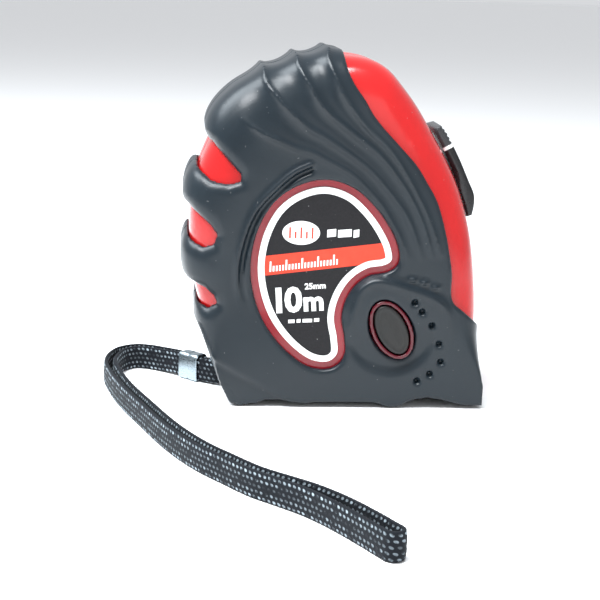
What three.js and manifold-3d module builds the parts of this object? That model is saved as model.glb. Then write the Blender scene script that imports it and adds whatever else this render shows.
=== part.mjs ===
// Pocket tape measure, 10 m x 25 mm, with a rubber jacket, thumb lock, side button and wrist strap.
// Millimetres. +X is where the tape comes out, -Y is the side with the button, +Z is up.
import * as THREE from "three";
import { LoftGeometry } from "three/addons/geometries/LoftGeometry.js";
import { mergeVertices } from "three/addons/utils/BufferGeometryUtils.js";
import Module from "manifold-3d";

// ---- driving dimensions ----
const SHIFT_X = -0.3; // moves the middle of the body onto x = 0
const SHIFT_Y = -3; // moves the middle of the body, clip included, onto y = 0
const CASE_HALF = 19.2; // half thickness of the red case
const CASE_WALL = 1.9; // wall of the red case
const GRIP_HALF = 21.2; // half thickness over the rubber jacket
const RIM_HALF = 6; // half width of the flat strip round the rim
const FACE_K = 0.6; // size of the flat side face against the whole outline
const RIM_POWER = 0.6; // squareness of the rounding between face and rim
const SEAM = 0.15; // half of the joint between the two shells
const REEL_X = -2, REEL_Z = 36.2; // reel axis
const COIL_R = 28.8; // wound tape, outside
const HUB_R = 17.2; // reel drum, outside
const TAPE_HALF = 12.5; // half width of the tape
const TAPE_ARC = 44.3; // radius of the tape's hollow section
const TAPE_Z = 5.0; // underside of the tape at its middle
const TAPE_T = 0.25;
const LOCK_X = -55.2, LOCK_Z = 21, LOCK_R = 93.6; // arc the thumb lock slides on
const BUTTON_X = 14.6, BUTTON_Z = 20.8;
const HOOK_X = 37.4; // back of the hook's plate, which the mouth is set out from
const STRAP_T = 1.1, STRAP_Z0 = 0.6, STRAP_Z1 = 6.8;
const PIN_X = -24.8;

// Outline of the red case and of the rubber jacket (x, z), rear foot over the top to the mouth.
const CASE_LINE = [
  [-23.8, 2.2], [-26.4, 6], [-28.9, 12], [-31.9, 19], [-34.2, 26], [-36, 34], [-36.7, 42], [-36.6, 50],
  [-35, 58], [-32.5, 64.5], [-28.9, 71], [-24.2, 76.8], [-18, 81.8], [-10, 85.8], [-3, 87.7], [3, 88.1],
  [8.5, 87.1], [12.5, 84.9], [16, 81.2], [20.1, 76], [24.1, 69.7], [28, 63.2], [31.4, 56.4],
  [33.7, 50], [35.6, 43], [37, 34], [37.7, 26], [37.6, 19.5], [36.4, 14.6], [36, 8], [35.8, 2.2],
];
const GRIP_LINE = [
  [-24.2, 0], [-26.2, 0.9], [-27.1, 2.6], [-28.5, 5.2], [-30.2, 9.5], [-31.9, 14], [-33.9, 18.8],
  [-35.3, 22], [-35.3, 24.4], [-35.6, 26.6], [-36.4, 28.5], [-37.6, 31], [-38.8, 36], [-38.8, 39.5],
  [-37.9, 42.5], [-37.4, 45.8], [-38.2, 49.4], [-38.6, 52.8], [-37.8, 57], [-36, 60.6], [-34.5, 63.2],
  [-33.4, 66], [-33.3, 69], [-32.6, 72], [-30.8, 75.4], [-27.4, 79], [-24, 81.6], [-20.6, 84.4],
  [-18.6, 86.5], [-15.8, 87.1], [-12.8, 88.1], [-10.7, 89.7], [-7.6, 89.4], [-5, 89.9], [-2.8, 90.9],
  [0.2, 90.5], [3, 89.8], [8.5, 88.9], [13.3, 86.7], [17.8, 82.4], [22, 77], [26, 70.7], [29.7, 64],
  [32.9, 57.1], [35.2, 50.6], [37.1, 43.4], [38.5, 34.3], [38.9, 26], [38.3, 19], [38.6, 13],
  [39.2, 6], [39.4, 0.5],
];
// Underside of the rubber, from the toe to the rear foot.
const BASE_LINE = [
  [38, 0.4], [33, 0.7], [30.4, 1.8], [27, 2.3], [22.6, 2.3], [20.4, 1.5], [19, 0.3], [18.4, 0], [14, 0],
  [12.4, 0.6], [0, 0.6], [-7, 0.9], [-12, 1.3], [-17, 1], [-19.6, 0.2], [-20.6, 0],
];
// Front edge of the rubber on the side, from the top down to the toe.
const GRIP_FRONT = [
  [1.6, 98], [1.2, 89], [2, 85.2], [3.7, 81.6], [6.4, 77.6], [8.6, 74.2], [10.9, 71.3], [13.5, 68.6],
  [16.2, 65.7], [19.9, 61.7], [22.6, 57.6], [25.4, 52.8], [28.4, 43.2], [29.3, 39.6], [30.3, 34.4],
  [30.9, 27.2], [34, 24.6], [36.8, 22], [42, 17.4],
];
// Printed label, a comma bent round the button boss.
const LABEL_LINE = [
  [-3.5, 56.5], [-9.7, 54.9], [-14.6, 51.2], [-18, 45], [-19.5, 37.2], [-18.7, 29.9], [-15.9, 22.7],
  [-10.9, 16.3], [-5.2, 12.3], [-0.9, 12], [1.1, 13.9], [1, 17.8], [0, 23.4], [1, 28.6], [3.9, 33.4],
  [8.1, 36.3], [12.2, 37.1], [13.9, 38.3], [13.5, 41.6], [11.1, 46.3], [7.4, 51], [2.6, 54.9],
];
// Finger slots at the back of the rubber.
const SLOTS = [
  [[-33.2, 67.6], [-28.7, 62.2], [-25.2, 59], [-23.3, 57.1], [-24.2, 55.6], [-27.4, 55.2], [-31.2, 56.1],
    [-33.8, 58.2], [-35.6, 60.6], [-45, 63.4], [-45, 67.6]],
  [[-37, 50.8], [-33.9, 48.2], [-30.6, 45.6], [-29.2, 43], [-30.4, 41], [-33.4, 40.4], [-36.2, 42],
    [-37.6, 44.2], [-45, 45.4], [-45, 50.8]],
  [[-35.5, 31.5], [-32.2, 29.2], [-30.2, 27.3], [-30.4, 25.7], [-32.5, 24.8], [-34.5, 25.5], [-45, 25.9],
    [-45, 31.5]],
];
// Screws that hold the two case halves together (x, z).
const SCREWS = [[-22.5, 67], [20, 66], [34.2, 16.5], [-27.2, 15.2]];

// ---- helpers ----
const wasm = await Module();
wasm.setup();
const V2 = (p) => new THREE.Vector2(p[0], p[1]);

// Closed solid from a three.js geometry: welded, turned outwards.
function solid(geometry) {
  const bare = new THREE.BufferGeometry();
  bare.setAttribute("position", geometry.getAttribute("position").clone());
  if (geometry.index) bare.setIndex(geometry.index.clone());
  const g = mergeVertices(bare, 1e-4);
  const p = g.getAttribute("position"), tri = [];
  const a = new THREE.Vector3(), b = new THREE.Vector3(), c = new THREE.Vector3();
  let volume = 0;
  for (let i = 0; i < g.index.count; i += 3) {
    const [i0, i1, i2] = [0, 1, 2].map((k) => g.index.getX(i + k));
    if (i0 === i1 || i1 === i2 || i0 === i2) continue;
    tri.push(i0, i1, i2);
    a.fromBufferAttribute(p, i0);
    b.fromBufferAttribute(p, i1);
    c.fromBufferAttribute(p, i2);
    volume += a.dot(b.cross(c));
  }
  if (volume < 0) tri.reverse();
  return new wasm.Manifold(new wasm.Mesh({
    numProp: 3,
    vertProperties: new Float32Array(p.array),
    triVerts: new Uint32Array(tri),
  }));
}
// Largest single body of a solid.
function biggest(m) {
  return m.decompose().sort((p, q) => q.volume() - p.volume())[0];
}
function geometryOf(m) {
  const mesh = m.getMesh(), g = new THREE.BufferGeometry();
  g.setAttribute("position", new THREE.BufferAttribute(new Float32Array(mesh.vertProperties), 3));
  g.setIndex(new THREE.BufferAttribute(new Uint32Array(mesh.triVerts), 1));
  g.computeVertexNormals();
  return g;
}
// Smooth line through hand-set points.
function smooth(points, closed, per) {
  const curve = new THREE.CatmullRomCurve3(
    points.map((p) => new THREE.Vector3(p[0], p[1], 0)), closed, "centripetal");
  const out = curve.getPoints(per * (points.length - (closed ? 0 : 1)));
  if (closed) out.pop();
  return out.map((p) => [p.x, p.y]);
}
// Polygon moved outwards (d > 0) or inwards, whichever way round it is drawn.
function grow(points, d) {
  const sign = THREE.ShapeUtils.area(points.map(V2)) > 0 ? 1 : -1;
  const n = points.length;
  return points.map((p, i) => {
    const q = points[(i + n - 1) % n], r = points[(i + 1) % n];
    const e1 = V2(p).sub(V2(q)).normalize(), e2 = V2(r).sub(V2(p)).normalize();
    const t = e1.clone().add(e2).normalize();
    const s = (sign * d) / Math.max(0.5, t.dot(e1));
    return [p[0] + t.y * s, p[1] - t.x * s];
  });
}
// Prism of an (x, z) polygon between two values of y.
function prism(points, y0, y1) {
  const g = new THREE.ExtrudeGeometry(new THREE.Shape(points.map(V2)), {
    depth: y1 - y0, bevelEnabled: false, steps: 1,
  });
  return solid(g.rotateX(Math.PI / 2).translate(0, y1, 0));
}
// Prism of an (x, y) polygon between two values of z.
function plate(points, z0, z1) {
  const g = new THREE.ExtrudeGeometry(new THREE.Shape(points.map(V2)), {
    depth: z1 - z0, bevelEnabled: false, steps: 1,
  });
  return solid(g.translate(0, 0, z0));
}
// Strip of a (y, z) section along x.
function strip(points, x0, x1) {
  const g = new THREE.ExtrudeGeometry(new THREE.Shape(points.map(V2)), {
    depth: x1 - x0, bevelEnabled: false, steps: 1,
  });
  const turn = new THREE.Matrix4().makeBasis(
    new THREE.Vector3(0, 1, 0), new THREE.Vector3(0, 0, 1), new THREE.Vector3(1, 0, 0));
  return solid(g.applyMatrix4(turn).translate(x0, 0, 0));
}
function box(x0, x1, y0, y1, z0, z1) {
  const g = new THREE.BoxGeometry(x1 - x0, y1 - y0, z1 - z0);
  return solid(g.translate((x0 + x1) / 2, (y0 + y1) / 2, (z0 + z1) / 2));
}
// Solid of revolution about an axis along y through (x, z); profile is [radius, y].
function turned(profile, x, z, sides) {
  return solid(new THREE.LatheGeometry(profile.map(V2), sides).translate(x, 0, z));
}
function disc(r, y0, y1, x, z, sides = 24) {
  return turned([[0, y0], [r, y0], [r, y1], [0, y1]], x, z, sides);
}
function ring(r0, r1, y0, y1, x, z, sides = 24) {
  return turned([[r0, y0], [r1, y0], [r1, y1], [r0, y1], [r0, y0]], x, z, sides);
}
// Upright pin along z at (x, y); profile is [radius, z].
function upright(profile, x, y, sides = 14) {
  const g = new THREE.LatheGeometry(profile.map(V2), sides);
  return solid(g.rotateX(Math.PI / 2).translate(x, y, 0));
}
// Tilted oval in (x, z).
function oval(x, z, a, b, tilt, n = 28) {
  return new THREE.EllipseCurve(x, z, a, b, 0, 2 * Math.PI, false, tilt).getPoints(n).slice(0, n)
    .map((p) => [p.x, p.y]);
}
// Sector of a ring about the thumb lock's arc centre, between two heights.
function sector(r0, r1, z0, z1, y0, y1, n = 6) {
  const at = (r, z) => [LOCK_X + Math.sqrt(r * r - (z - LOCK_Z) ** 2), z];
  const out = [];
  for (let i = 0; i <= n; i++) out.push(at(r0, z0 + ((z1 - z0) * i) / n));
  for (let i = n; i >= 0; i--) out.push(at(r1, z0 + ((z1 - z0) * i) / n));
  return prism(out, y0, y1);
}
// Case-shaped body: the outline keeps its base and shrinks towards each side face.
function shell(line, half) {
  const levels = [];
  for (let i = 0; i <= 6; i++) {
    const t = (i / 6) * (Math.PI / 2);
    levels.push([
      FACE_K + (1 - FACE_K) * Math.sin(t) ** RIM_POWER,
      RIM_HALF + (half - RIM_HALF) * Math.cos(t) ** RIM_POWER,
    ]);
  }
  levels[6][1] = RIM_HALF;
  const rows = [
    ...levels.map(([k, y]) => [k, -y]),
    ...levels.slice().reverse().map(([k, y]) => [k, y]),
  ];
  const sections = rows.map(([k, y]) => line.map(([x, z]) => {
    const kx = 1 - (1 - k) * THREE.MathUtils.smoothstep(z, 4, 34);
    const dz = (1 - k) * Math.max(0, z - 20) * THREE.MathUtils.smoothstep(z, 20, 44);
    return new THREE.Vector3(-1 + (x + 1) * kx, y, z - dz);
  }));
  return solid(new LoftGeometry(sections, { capStart: true, capEnd: true }));
}

// ---- materials ----
const look = (color, roughness, metalness = 0) =>
  new THREE.MeshStandardMaterial({ color, roughness, metalness });
const RED = look(0xd8282c, 0.22);
const RUBBER = look(0x2b343c, 0.6);
const PRINT = look(0x15171a, 0.35);
const BLACK = look(0x17191b, 0.45);
const BRAID = look(0x1b1f24, 0.85);
const STEEL = look(0xb9bec4, 0.3, 1);
const SPRING = look(0x8b9098, 0.35, 1);
const TAPE = look(0xf2c518, 0.4);
const REEL = look(0x3a3d42, 0.5);
const FELT = look(0x4a4a48, 0.95);

const tape = new THREE.Group();
tape.name = "tape_measure";
const nodes = [];
function add(name, body, material) {
  const m = new THREE.Mesh(geometryOf(body), material);
  m.name = name;
  m.geometry.translate(SHIFT_X, SHIFT_Y, 0);
  nodes.push(m);
}
const right = box(-60, 60, -40, -SEAM, -5, 110); // the half with the button
const left = box(-60, 60, SEAM, 40, -5, 110);

// ---- red case ----
const caseLine = smooth(CASE_LINE, false, 1);
const caseOutline = [...caseLine, [24, 2.2], [10, 2.2], [-4, 2.2], [-16, 2.2]];
const arch = (top) => prism([[18.6, 1], [20.6, top], [29.6, top], [32, 1]], -40, 40);
const hollow = shell(grow(caseOutline, -CASE_WALL), CASE_HALF - CASE_WALL);
const outer = shell(caseOutline, CASE_HALF).subtract(arch(3.05));
let caseBody = outer.subtract(hollow)
  .subtract(box(HOOK_X - 5.6, 45, -13.4, 13.4, 4.1, 9.3)) // mouth
  .subtract(box(HOOK_X - 4.4, 45, -13.4, 13.4, -1, 4.2)) // seat of the guide
  .subtract(box(HOOK_X - 4, 45, -13.4, 13.4, 9.2, 11.9)) // seat of the bumper
  .subtract(sector(88, 100, 45.4, 61.4, -2.3, 2.3)); // slot for the lock's web
// seat of the strap pin, in the rear corner
caseBody = caseBody
  .add(box(-28.6, -20.6, -4.6, 4.6, 3, 13).intersect(outer))
  .subtract(box(-40, -21.8, -3.3, 3.3, -1, 9))
  .subtract(upright([[0, 8], [1.4, 8], [1.4, 11.2], [0, 11.2]], PIN_X, 0));
// collar and pocket of the side button
const buttonOval = (d) => oval(BUTTON_X, BUTTON_Z, 3.75 + d, 6.8 + d, 0.48);
let caseRight = caseBody.intersect(right)
  .add(prism(buttonOval(1.25), -21.4, -CASE_HALF + 0.4).subtract(prism(buttonOval(0.35), -22, -CASE_HALF + 0.1)));
for (const [x, z] of SCREWS) {
  caseRight = caseRight.add(disc(2.4, -CASE_HALF + 1, -SEAM, x, z, 16).intersect(outer))
    .subtract(disc(1.28, -12.4, 1, x, z, 14));
}
caseRight = caseRight.add(ring(3.9, 5.6, -CASE_HALF + 1, -14.4, REEL_X, REEL_Z, 20))
  .subtract(disc(3.8, -22, -18.05, BUTTON_X, BUTTON_Z))
  .subtract(disc(2.35, -22, -15, BUTTON_X, BUTTON_Z, 18));
let caseLeft = caseBody.intersect(left);
for (const [x, z] of SCREWS) {
  caseLeft = caseLeft.add(disc(2.9, SEAM, CASE_HALF - 1, x, z, 16).intersect(outer))
    .subtract(disc(1.45, -1, 30, x, z, 14)).subtract(disc(2.65, 14.4, 30, x, z, 18));
}
caseLeft = caseLeft.add(ring(3.9, 5.6, 14.4, CASE_HALF - 1, REEL_X, REEL_Z, 20))
  .add(disc(2.8, 14.2, CASE_HALF - 1, -2, 50, 16))
  .subtract(disc(1.28, 15, 30, -2, 50, 14));
add("case_right", biggest(caseRight), RED);
add("case_left", biggest(caseLeft), RED);

// ---- rubber jacket ----
const gripOutline = [...smooth(GRIP_LINE, false, 1), ...BASE_LINE];
const labelLine = smooth(LABEL_LINE, true, 2);
const frontCut = [...smooth(GRIP_FRONT, false, 1), [60, 17.2], [60, 98]];
let gripBody = shell(gripOutline, GRIP_HALF)
  .add(disc(13.2, -22.1, -18, BUTTON_X, BUTTON_Z, 36).intersect(box(-60, 60, -30, 0, 7, 33.6)))
  .subtract(shell(grow(caseOutline, 0.2), CASE_HALF + 0.2).subtract(arch(2.85)))
  .subtract(prism(frontCut, -40, 40))
  .subtract(prism(grow(labelLine, 1.9), -40, 40))
  .subtract(box(HOOK_X - 1.9, 50, -14.4, 14.4, -5, 24)) // space for the hook between the toes
  .subtract(box(-50, -21.6, -3.5, 3.5, 0.6, 9.2)); // strap slot
for (const s of SLOTS) gripBody = gripBody.subtract(prism(s, -40, 40));
let gripRight = gripBody.intersect(right)
  .subtract(prism(buttonOval(1.5), -30, -10))
  .subtract(prism([[-29.5, 12.4], [-11.4, 1.8], [-11.4, -2], [-40, -2], [-40, 12.4]], -30, -GRIP_HALF + 0.5));
for (let i = 0; i < 7; i++) { // dimples beside the button
  const a = 1.25 - i * 0.42;
  gripRight = gripRight.subtract(
    disc(0.7, -30, -GRIP_HALF + (i < 5 ? 0.0 : 0.5), 17.6 + 10.4 * Math.cos(a), 17.8 + 10.4 * Math.sin(a), 10));
}
let gripLeft = gripBody.intersect(left)
  .subtract(prism([[-29.5, 12.4], [-11.4, 1.8], [-11.4, -2], [-40, -2], [-40, 12.4]], GRIP_HALF - 0.5, 30));
for (const [x, z] of SCREWS) gripLeft = gripLeft.subtract(disc(3.1, 10, 30, x, z, 18));
add("grip_right", biggest(gripRight), RUBBER);
add("grip_left", biggest(gripLeft), RUBBER);

// ---- printed labels ----
add("label_right", prism(labelLine, -CASE_HALF - 0.5, -CASE_HALF - 0.1), PRINT);
add("label_left", prism(labelLine, CASE_HALF + 0.1, CASE_HALF + 0.5).subtract(disc(1.6, 0, 30, -2, 50, 18)), PRINT);

// ---- reel ----
add("center_post", disc(3.6, -17, 17, REEL_X, REEL_Z, 20)
  .subtract(box(REEL_X - 0.5, REEL_X + 0.5, -12, 12.2, REEL_Z - 5, REEL_Z + 1.5)), STEEL);
add("reel_drum", turned([
  [3.9, -13.6], [28, -13.6], [28, -12.8], [HUB_R, -12.8], [HUB_R, 12.3], [15.8, 12.3], [15.8, -12.4],
  [5.4, -12.4], [5.4, -11.6], [3.9, -11.6], [3.9, -13.6],
], REEL_X, REEL_Z, 40), REEL);
add("reel_cover", turned([
  [3.9, 11.8], [5.4, 11.8], [5.4, 12.6], [HUB_R, 12.6], [HUB_R, 13.4], [3.9, 13.4], [3.9, 11.8],
], REEL_X, REEL_Z, 32), REEL);
add("blade_coil", ring(HUB_R + 0.25, COIL_R, -TAPE_HALF, TAPE_HALF, REEL_X, REEL_Z, 56), TAPE);
// mainspring: flat strip wound in a spiral round the post
const turns = 4.5, springSteps = 72;
const spiral = (r) => Array.from({ length: springSteps + 1 }, (_, i) => {
  const u = i / springSteps, a = u * turns * 2 * Math.PI - Math.PI / 2, q = r + u * 10.2;
  return [REEL_X + q * Math.cos(a), REEL_Z + q * Math.sin(a)];
});
add("mainspring", prism([...spiral(4.3), ...spiral(4.8).reverse()], -11, 11), SPRING);

// ---- tape end, hook and rivets ----
// Height of the tape's hollow section above its middle.
const rise = (y) => TAPE_ARC - Math.sqrt(TAPE_ARC ** 2 - y * y);
function hollowStrip(half, z, t, x0, x1, n = 8) {
  const ys = Array.from({ length: n + 1 }, (_, i) => -half + (2 * half * i) / n);
  return strip([
    ...ys.map((y) => [y, z + rise(y)]), ...ys.slice().reverse().map((y) => [y, z + t + rise(y)]),
  ], x0, x1);
}
const RIVETS = [[HOOK_X - 3.2, 0], [HOOK_X - 5.9, 3], [HOOK_X - 5.9, -3]];
let lead = hollowStrip(TAPE_HALF, TAPE_Z, TAPE_T, -18, HOOK_X - 0.3);
let hook = hollowStrip(6.5, TAPE_Z + TAPE_T + 0.15, 0.6, HOOK_X - 7.6, HOOK_X + 0.2)
  .add(box(HOOK_X, HOOK_X + 0.8, -6.5, 6.5, 4.6, 7))
  .add(prism([[0, 1], [0.6, 1], [0.8, 1.4], [0.8, 10.6], [0.6, 11], [0, 11]]
    .map(([x, z]) => [HOOK_X + x, z]), -10.5, 10.5));
for (const [x, y] of RIVETS) {
  const hole = (r) => upright([[0, 0], [r, 0], [r, 12], [0, 12]], x, y, 12);
  lead = lead.subtract(hole(1.2)).subtract(hole(1.2).translate([1, 0, 0]))
    .subtract(box(x, x + 1, y - 1.2, y + 1.2, 0, 12));
  hook = hook.subtract(hole(1.15));
}
add("blade_lead", lead, TAPE);
add("end_hook", hook, STEEL);
RIVETS.forEach(([x, y], i) => {
  const z0 = TAPE_Z + rise(y), top = z0 + TAPE_T + 0.15 + 0.6 + 0.12;
  add(`hook_rivet_${i + 1}`, upright([
    [0, z0 - 0.85], [1.3, z0 - 0.75], [1.8, z0 - 0.2], [1.0, z0 - 0.2], [1.0, top], [1.8, top],
    [1.5, top + 0.45], [0, top + 0.65],
  ], x, y), STEEL);
});
const guideLine = [[-4, 2.5], [-0.7, 2.5], [-0.5, 2.9], [-0.8, 3.8], [-1.4, 4.05], [-4, 4.05]];
const bumperLine = [[-3.7, 9.5], [-0.7, 9.5], [-0.3, 9.9], [-0.3, 11.2], [-0.7, 11.6], [-3.7, 11.6]];
const atMouth = (line) => prism(line.map(([x, z]) => [HOOK_X + x, z]), -13.1, 13.1);
add("mouth_guide", atMouth(guideLine), BLACK);
add("mouth_bumper", atMouth(bumperLine), RUBBER);

// ---- thumb lock ----
const knobInner = Array.from({ length: 9 }, (_, i) => {
  const z = 47.6 + (22.8 * i) / 8, r = LOCK_R + 0.4;
  return [LOCK_X + Math.sqrt(r * r - (z - LOCK_Z) ** 2), z];
});
const knobOuter = [[27.2, 70.9], [28.7, 69.2], [30.4, 66.2], [32.6, 62.2], [35.3, 56.6], [36.4, 54.4],
  [36.9, 52.8], [36.9, 50.2], [36.6, 47.8]];
let knob = prism([...knobInner, ...knobOuter], -7, 7);
for (let i = 0; i < 4; i++) { // finger ribs on its upper end
  const x = 28.6 + i * 0.95, z = 70.6 - i * 1.6;
  knob = knob.subtract(prism(oval(x + 0.35, z + 0.25, 0.5, 0.5, 0, 8), -8, 8));
}
add("lock_knob", biggest(knob), BLACK);
add("lock_arm", sector(84.2, 86, 13.4, 59.6, -3.4, 3.4, 10)
  .add(sector(85, LOCK_R + 0.1, 54.2, 59.6, -1.8, 1.8, 2))
  .add(sector(80.6, 85, 13.4, 16.4, -5, 5, 2)), BLACK);
add("lock_detent_spring", sector(87, 87.5, 34, 45.6, -2, 2, 6)
  .add(sector(87, 91.2, 34, 34.8, -2, 2, 1)), SPRING);

// ---- side button ----
add("side_button", prism(buttonOval(0), -22.3, -21.1)
  .add(prism(buttonOval(-0.6), -22.8, -21.5))
  .subtract(disc(3.25, -21.6, -20, BUTTON_X, BUTTON_Z))
  .add(disc(2, -22, -16.5, BUTTON_X, BUTTON_Z, 18)), BLACK);
const coilSpring = (r, wire, y0, y1, n) => {
  const curve = new THREE.CatmullRomCurve3(Array.from({ length: n * 12 + 1 }, (_, i) => {
    const a = (i / 12) * 2 * Math.PI, y = y0 + wire + ((y1 - y0 - 2 * wire) * i) / (n * 12);
    return new THREE.Vector3(BUTTON_X + r * Math.cos(a), y, BUTTON_Z + r * Math.sin(a));
  }));
  const g = new THREE.TubeGeometry(curve, n * 12, wire, 6, false);
  const pos = g.getAttribute("position"), index = [...g.index.array], rings = n * 12, count = pos.count;
  const ends = new THREE.BufferGeometry();
  ends.setAttribute("position", new THREE.Float32BufferAttribute([
    ...pos.array, ...curve.getPoint(0).toArray(), ...curve.getPoint(1).toArray()], 3));
  for (let j = 0; j < 6; j++) {
    index.push(count, j, j + 1, count + 1, rings * 7 + j + 1, rings * 7 + j);
  }
  ends.setIndex(index);
  return solid(ends);
};
add("button_spring", coilSpring(2.85, 0.2, -19.6, -18.15, 2), SPRING);
add("button_brake_pad", disc(4.6, -17.2, -15.6, BUTTON_X, BUTTON_Z, 24)
  .subtract(disc(2.06, -18, -16.4, BUTTON_X, BUTTON_Z, 18)), FELT);

// ---- strap, crimp and pin ----
add("strap_pin", upright([[0, 0.8], [1.2, 0.8], [1.2, 11], [0, 11]], PIN_X, 0), STEEL);
// Ribbon doubled along a route, folded round at the route's end; half(u) is half the space between its runs.
function doubled(route, half) {
  const n = route.length, end = route[n - 1];
  const along = (i) => V2(route[Math.min(n - 1, i + 1)]).sub(V2(route[Math.max(0, i - 1)])).normalize();
  const run = (side, extra) => route.map((p, i) => {
    const t = along(i), d = side * (half(i / (n - 1)) + extra);
    return [p[0] + t.y * d, p[1] - t.x * d];
  });
  const fold = (r) => Array.from({ length: 7 }, (_, i) => {
    const t = along(n - 1), a = ((i + 1) / 8) * Math.PI, side = Math.cos(a) * r, ahead = Math.sin(a) * r;
    return [end[0] + t.y * side + t.x * ahead, end[1] - t.x * side + t.y * ahead];
  });
  const h = STRAP_T / 2;
  return plate([
    ...run(1, h), ...fold(half(1) + h), ...run(-1, h).reverse(),
    ...run(-1, -h), ...fold(half(1) - h).reverse(), ...run(1, -h).reverse(),
  ], STRAP_Z0, STRAP_Z1);
}
const CRIMP_GAP = 0.8; // half the space between the runs inside the crimp
const ease = THREE.MathUtils.smoothstep;
// Routes on the table (x, y): out of the crimp to the far fold, and out of it to the pin.
const ROUTE = [[-35.4, 4.4], [-37, 6], [-38.8, 7.8], [-42, 10.8], [-46, 13.8], [-50.4, 15], [-54, 12.6],
  [-56.2, 7], [-56.8, 0], [-55.4, -8.4], [-52.3, -20.4], [-46.2, -37.8], [-39.7, -54.9], [-33.5, -67.1],
  [-28.1, -75], [-22.1, -83.1], [-16.4, -88.6], [-11.4, -93.6], [-6.6, -100], [-1.9, -107.8], [1.2, -113.6],
  [2.3, -115.6]];
const ANCHOR = [[-34.8, 3.8], [-33.5, 2.5], [-32, 1.1], [-30.2, 0.3], [-28.4, 0], [-25.2, 0]];
add("strap_braid", doubled(smooth(ROUTE, false, 2),
  (u) => CRIMP_GAP + 0.35 * ease(u, 0.09, 0.2) + 0.75 * ease(u, 0.72, 0.9)), BRAID);
add("strap_anchor_loop", doubled(smooth(ANCHOR, false, 2), (u) => CRIMP_GAP + 1.5 * ease(u, 0.4, 1)), BRAID);
// folded steel crimp, turned with the strap
const crimp = (out, half, z0, z1) => solid(new THREE.BoxGeometry(6.8 + out, 2 * half, z1 - z0)
  .rotateZ(-Math.PI / 4).translate(-35.1, 4.1, (z0 + z1) / 2));
add("strap_crimp", crimp(0, 2.1, 0.05, 7.4).subtract(crimp(2, 1.65, 0.35, 7.05)), STEEL);

// ---- belt clip and fasteners ----
const clipSide = [[19.85, 53.6], [20.85, 53.6], [20.85, 44.6], [27, 39.6], [27, 16.5], [28.8, 11.6],
  [27.9, 11.2], [26, 16.3], [26, 39.2], [19.85, 44.2]];
add("belt_clip", strip(clipSide, -9.5, 5.5).subtract(disc(1.7, 15, 30, -2, 50, 18)), STEEL);
const cross = (x, z, y0, y1, s) => box(x - s, x + s, y0, y1, z - 0.35, z + 0.35)
  .add(box(x - 0.35, x + 0.35, y0, y1, z - s, z + s));
add("clip_screw", turned([[0, 15.2], [1.2, 15.2], [1.2, 20.95], [2.7, 20.95], [2.5, 21.9], [1.6, 22.3],
  [0, 22.4]], -2, 50, 18).subtract(cross(-2, 50, 21.6, 23, 1.5)), STEEL);
SCREWS.forEach(([x, z], i) => {
  add(`case_screw_${i + 1}`, turned([[0, -12], [0.9, -11.2], [1.2, -10], [1.2, 14.5], [2.4, 14.5],
    [2.4, 15.6], [1.6, 16.2], [0, 16.3]], x, z, 16).subtract(cross(x, z, 15.5, 17, 1.4)), STEEL);
});

for (const m of nodes) tape.add(m);
export default tape;
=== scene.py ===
"""Tape measure, 10 m x 25 mm: a red case in a rubber jacket, a thumb lock, a side button and a wrist strap.
Lengths are millimetres in the shells' own frame, and place() takes them to the part's frame."""
import math

import bmesh
import bpy
import numpy as np
from mathutils import Matrix, Vector


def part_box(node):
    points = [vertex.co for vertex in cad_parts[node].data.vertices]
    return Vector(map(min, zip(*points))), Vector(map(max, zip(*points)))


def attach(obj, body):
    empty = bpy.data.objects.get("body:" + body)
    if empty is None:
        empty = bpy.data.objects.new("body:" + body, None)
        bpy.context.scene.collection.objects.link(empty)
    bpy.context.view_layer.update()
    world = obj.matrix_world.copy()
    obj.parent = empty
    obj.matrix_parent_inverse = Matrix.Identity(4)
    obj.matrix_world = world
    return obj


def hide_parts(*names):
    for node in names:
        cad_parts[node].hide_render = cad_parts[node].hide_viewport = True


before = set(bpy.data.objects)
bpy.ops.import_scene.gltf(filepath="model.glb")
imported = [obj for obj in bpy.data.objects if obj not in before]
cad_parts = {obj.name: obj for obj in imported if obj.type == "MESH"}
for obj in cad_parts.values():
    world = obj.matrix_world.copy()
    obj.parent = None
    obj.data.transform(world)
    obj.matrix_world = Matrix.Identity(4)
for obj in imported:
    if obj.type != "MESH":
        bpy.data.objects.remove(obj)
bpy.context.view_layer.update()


# ---- Table, light and camera ----
# A pale table top in a pale room, under three soft lights: one straight above and two to the left.
# A faint fourth one fills in from the front. The camera stands low before the button side.
TABLE_HALF = 9.0
CAMERA_TARGET = Vector((-0.00814, -0.0128, 0.0255))
CAMERA_TURN, CAMERA_RISE, CAMERA_ROLL = math.radians(-5), math.radians(13), math.radians(2)
CAMERA_DISTANCE, CAMERA_LENS = 0.359, 83.4

scene = bpy.context.scene
table = bpy.data.meshes.new("table_top")
table.from_pydata([(-TABLE_HALF, -TABLE_HALF, 0), (TABLE_HALF, -TABLE_HALF, 0),
                   (TABLE_HALF, TABLE_HALF, 0), (-TABLE_HALF, TABLE_HALF, 0)], [], [(0, 1, 2, 3)])
table_top = bpy.data.objects.new("table_top", table)
scene.collection.objects.link(table_top)
table_paint = bpy.data.materials.new("pale_table")
table_paint.use_nodes = True
table_shader = table_paint.node_tree.nodes["Principled BSDF"]
table_shader.inputs["Base Color"].default_value = (0.94, 0.94, 0.94, 1)
table_shader.inputs["Roughness"].default_value = 0.8
table_shader.inputs["Specular IOR Level"].default_value = 0.1
table.materials.append(table_paint)

room = bpy.data.worlds.new("pale_room")
room.use_nodes = True
room.node_tree.nodes["Background"].inputs["Color"].default_value = (0.95, 0.97, 1.0, 1)
room.node_tree.nodes["Background"].inputs["Strength"].default_value = 0.72
scene.world = room
scene.view_settings.view_transform = "Standard"


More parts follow.
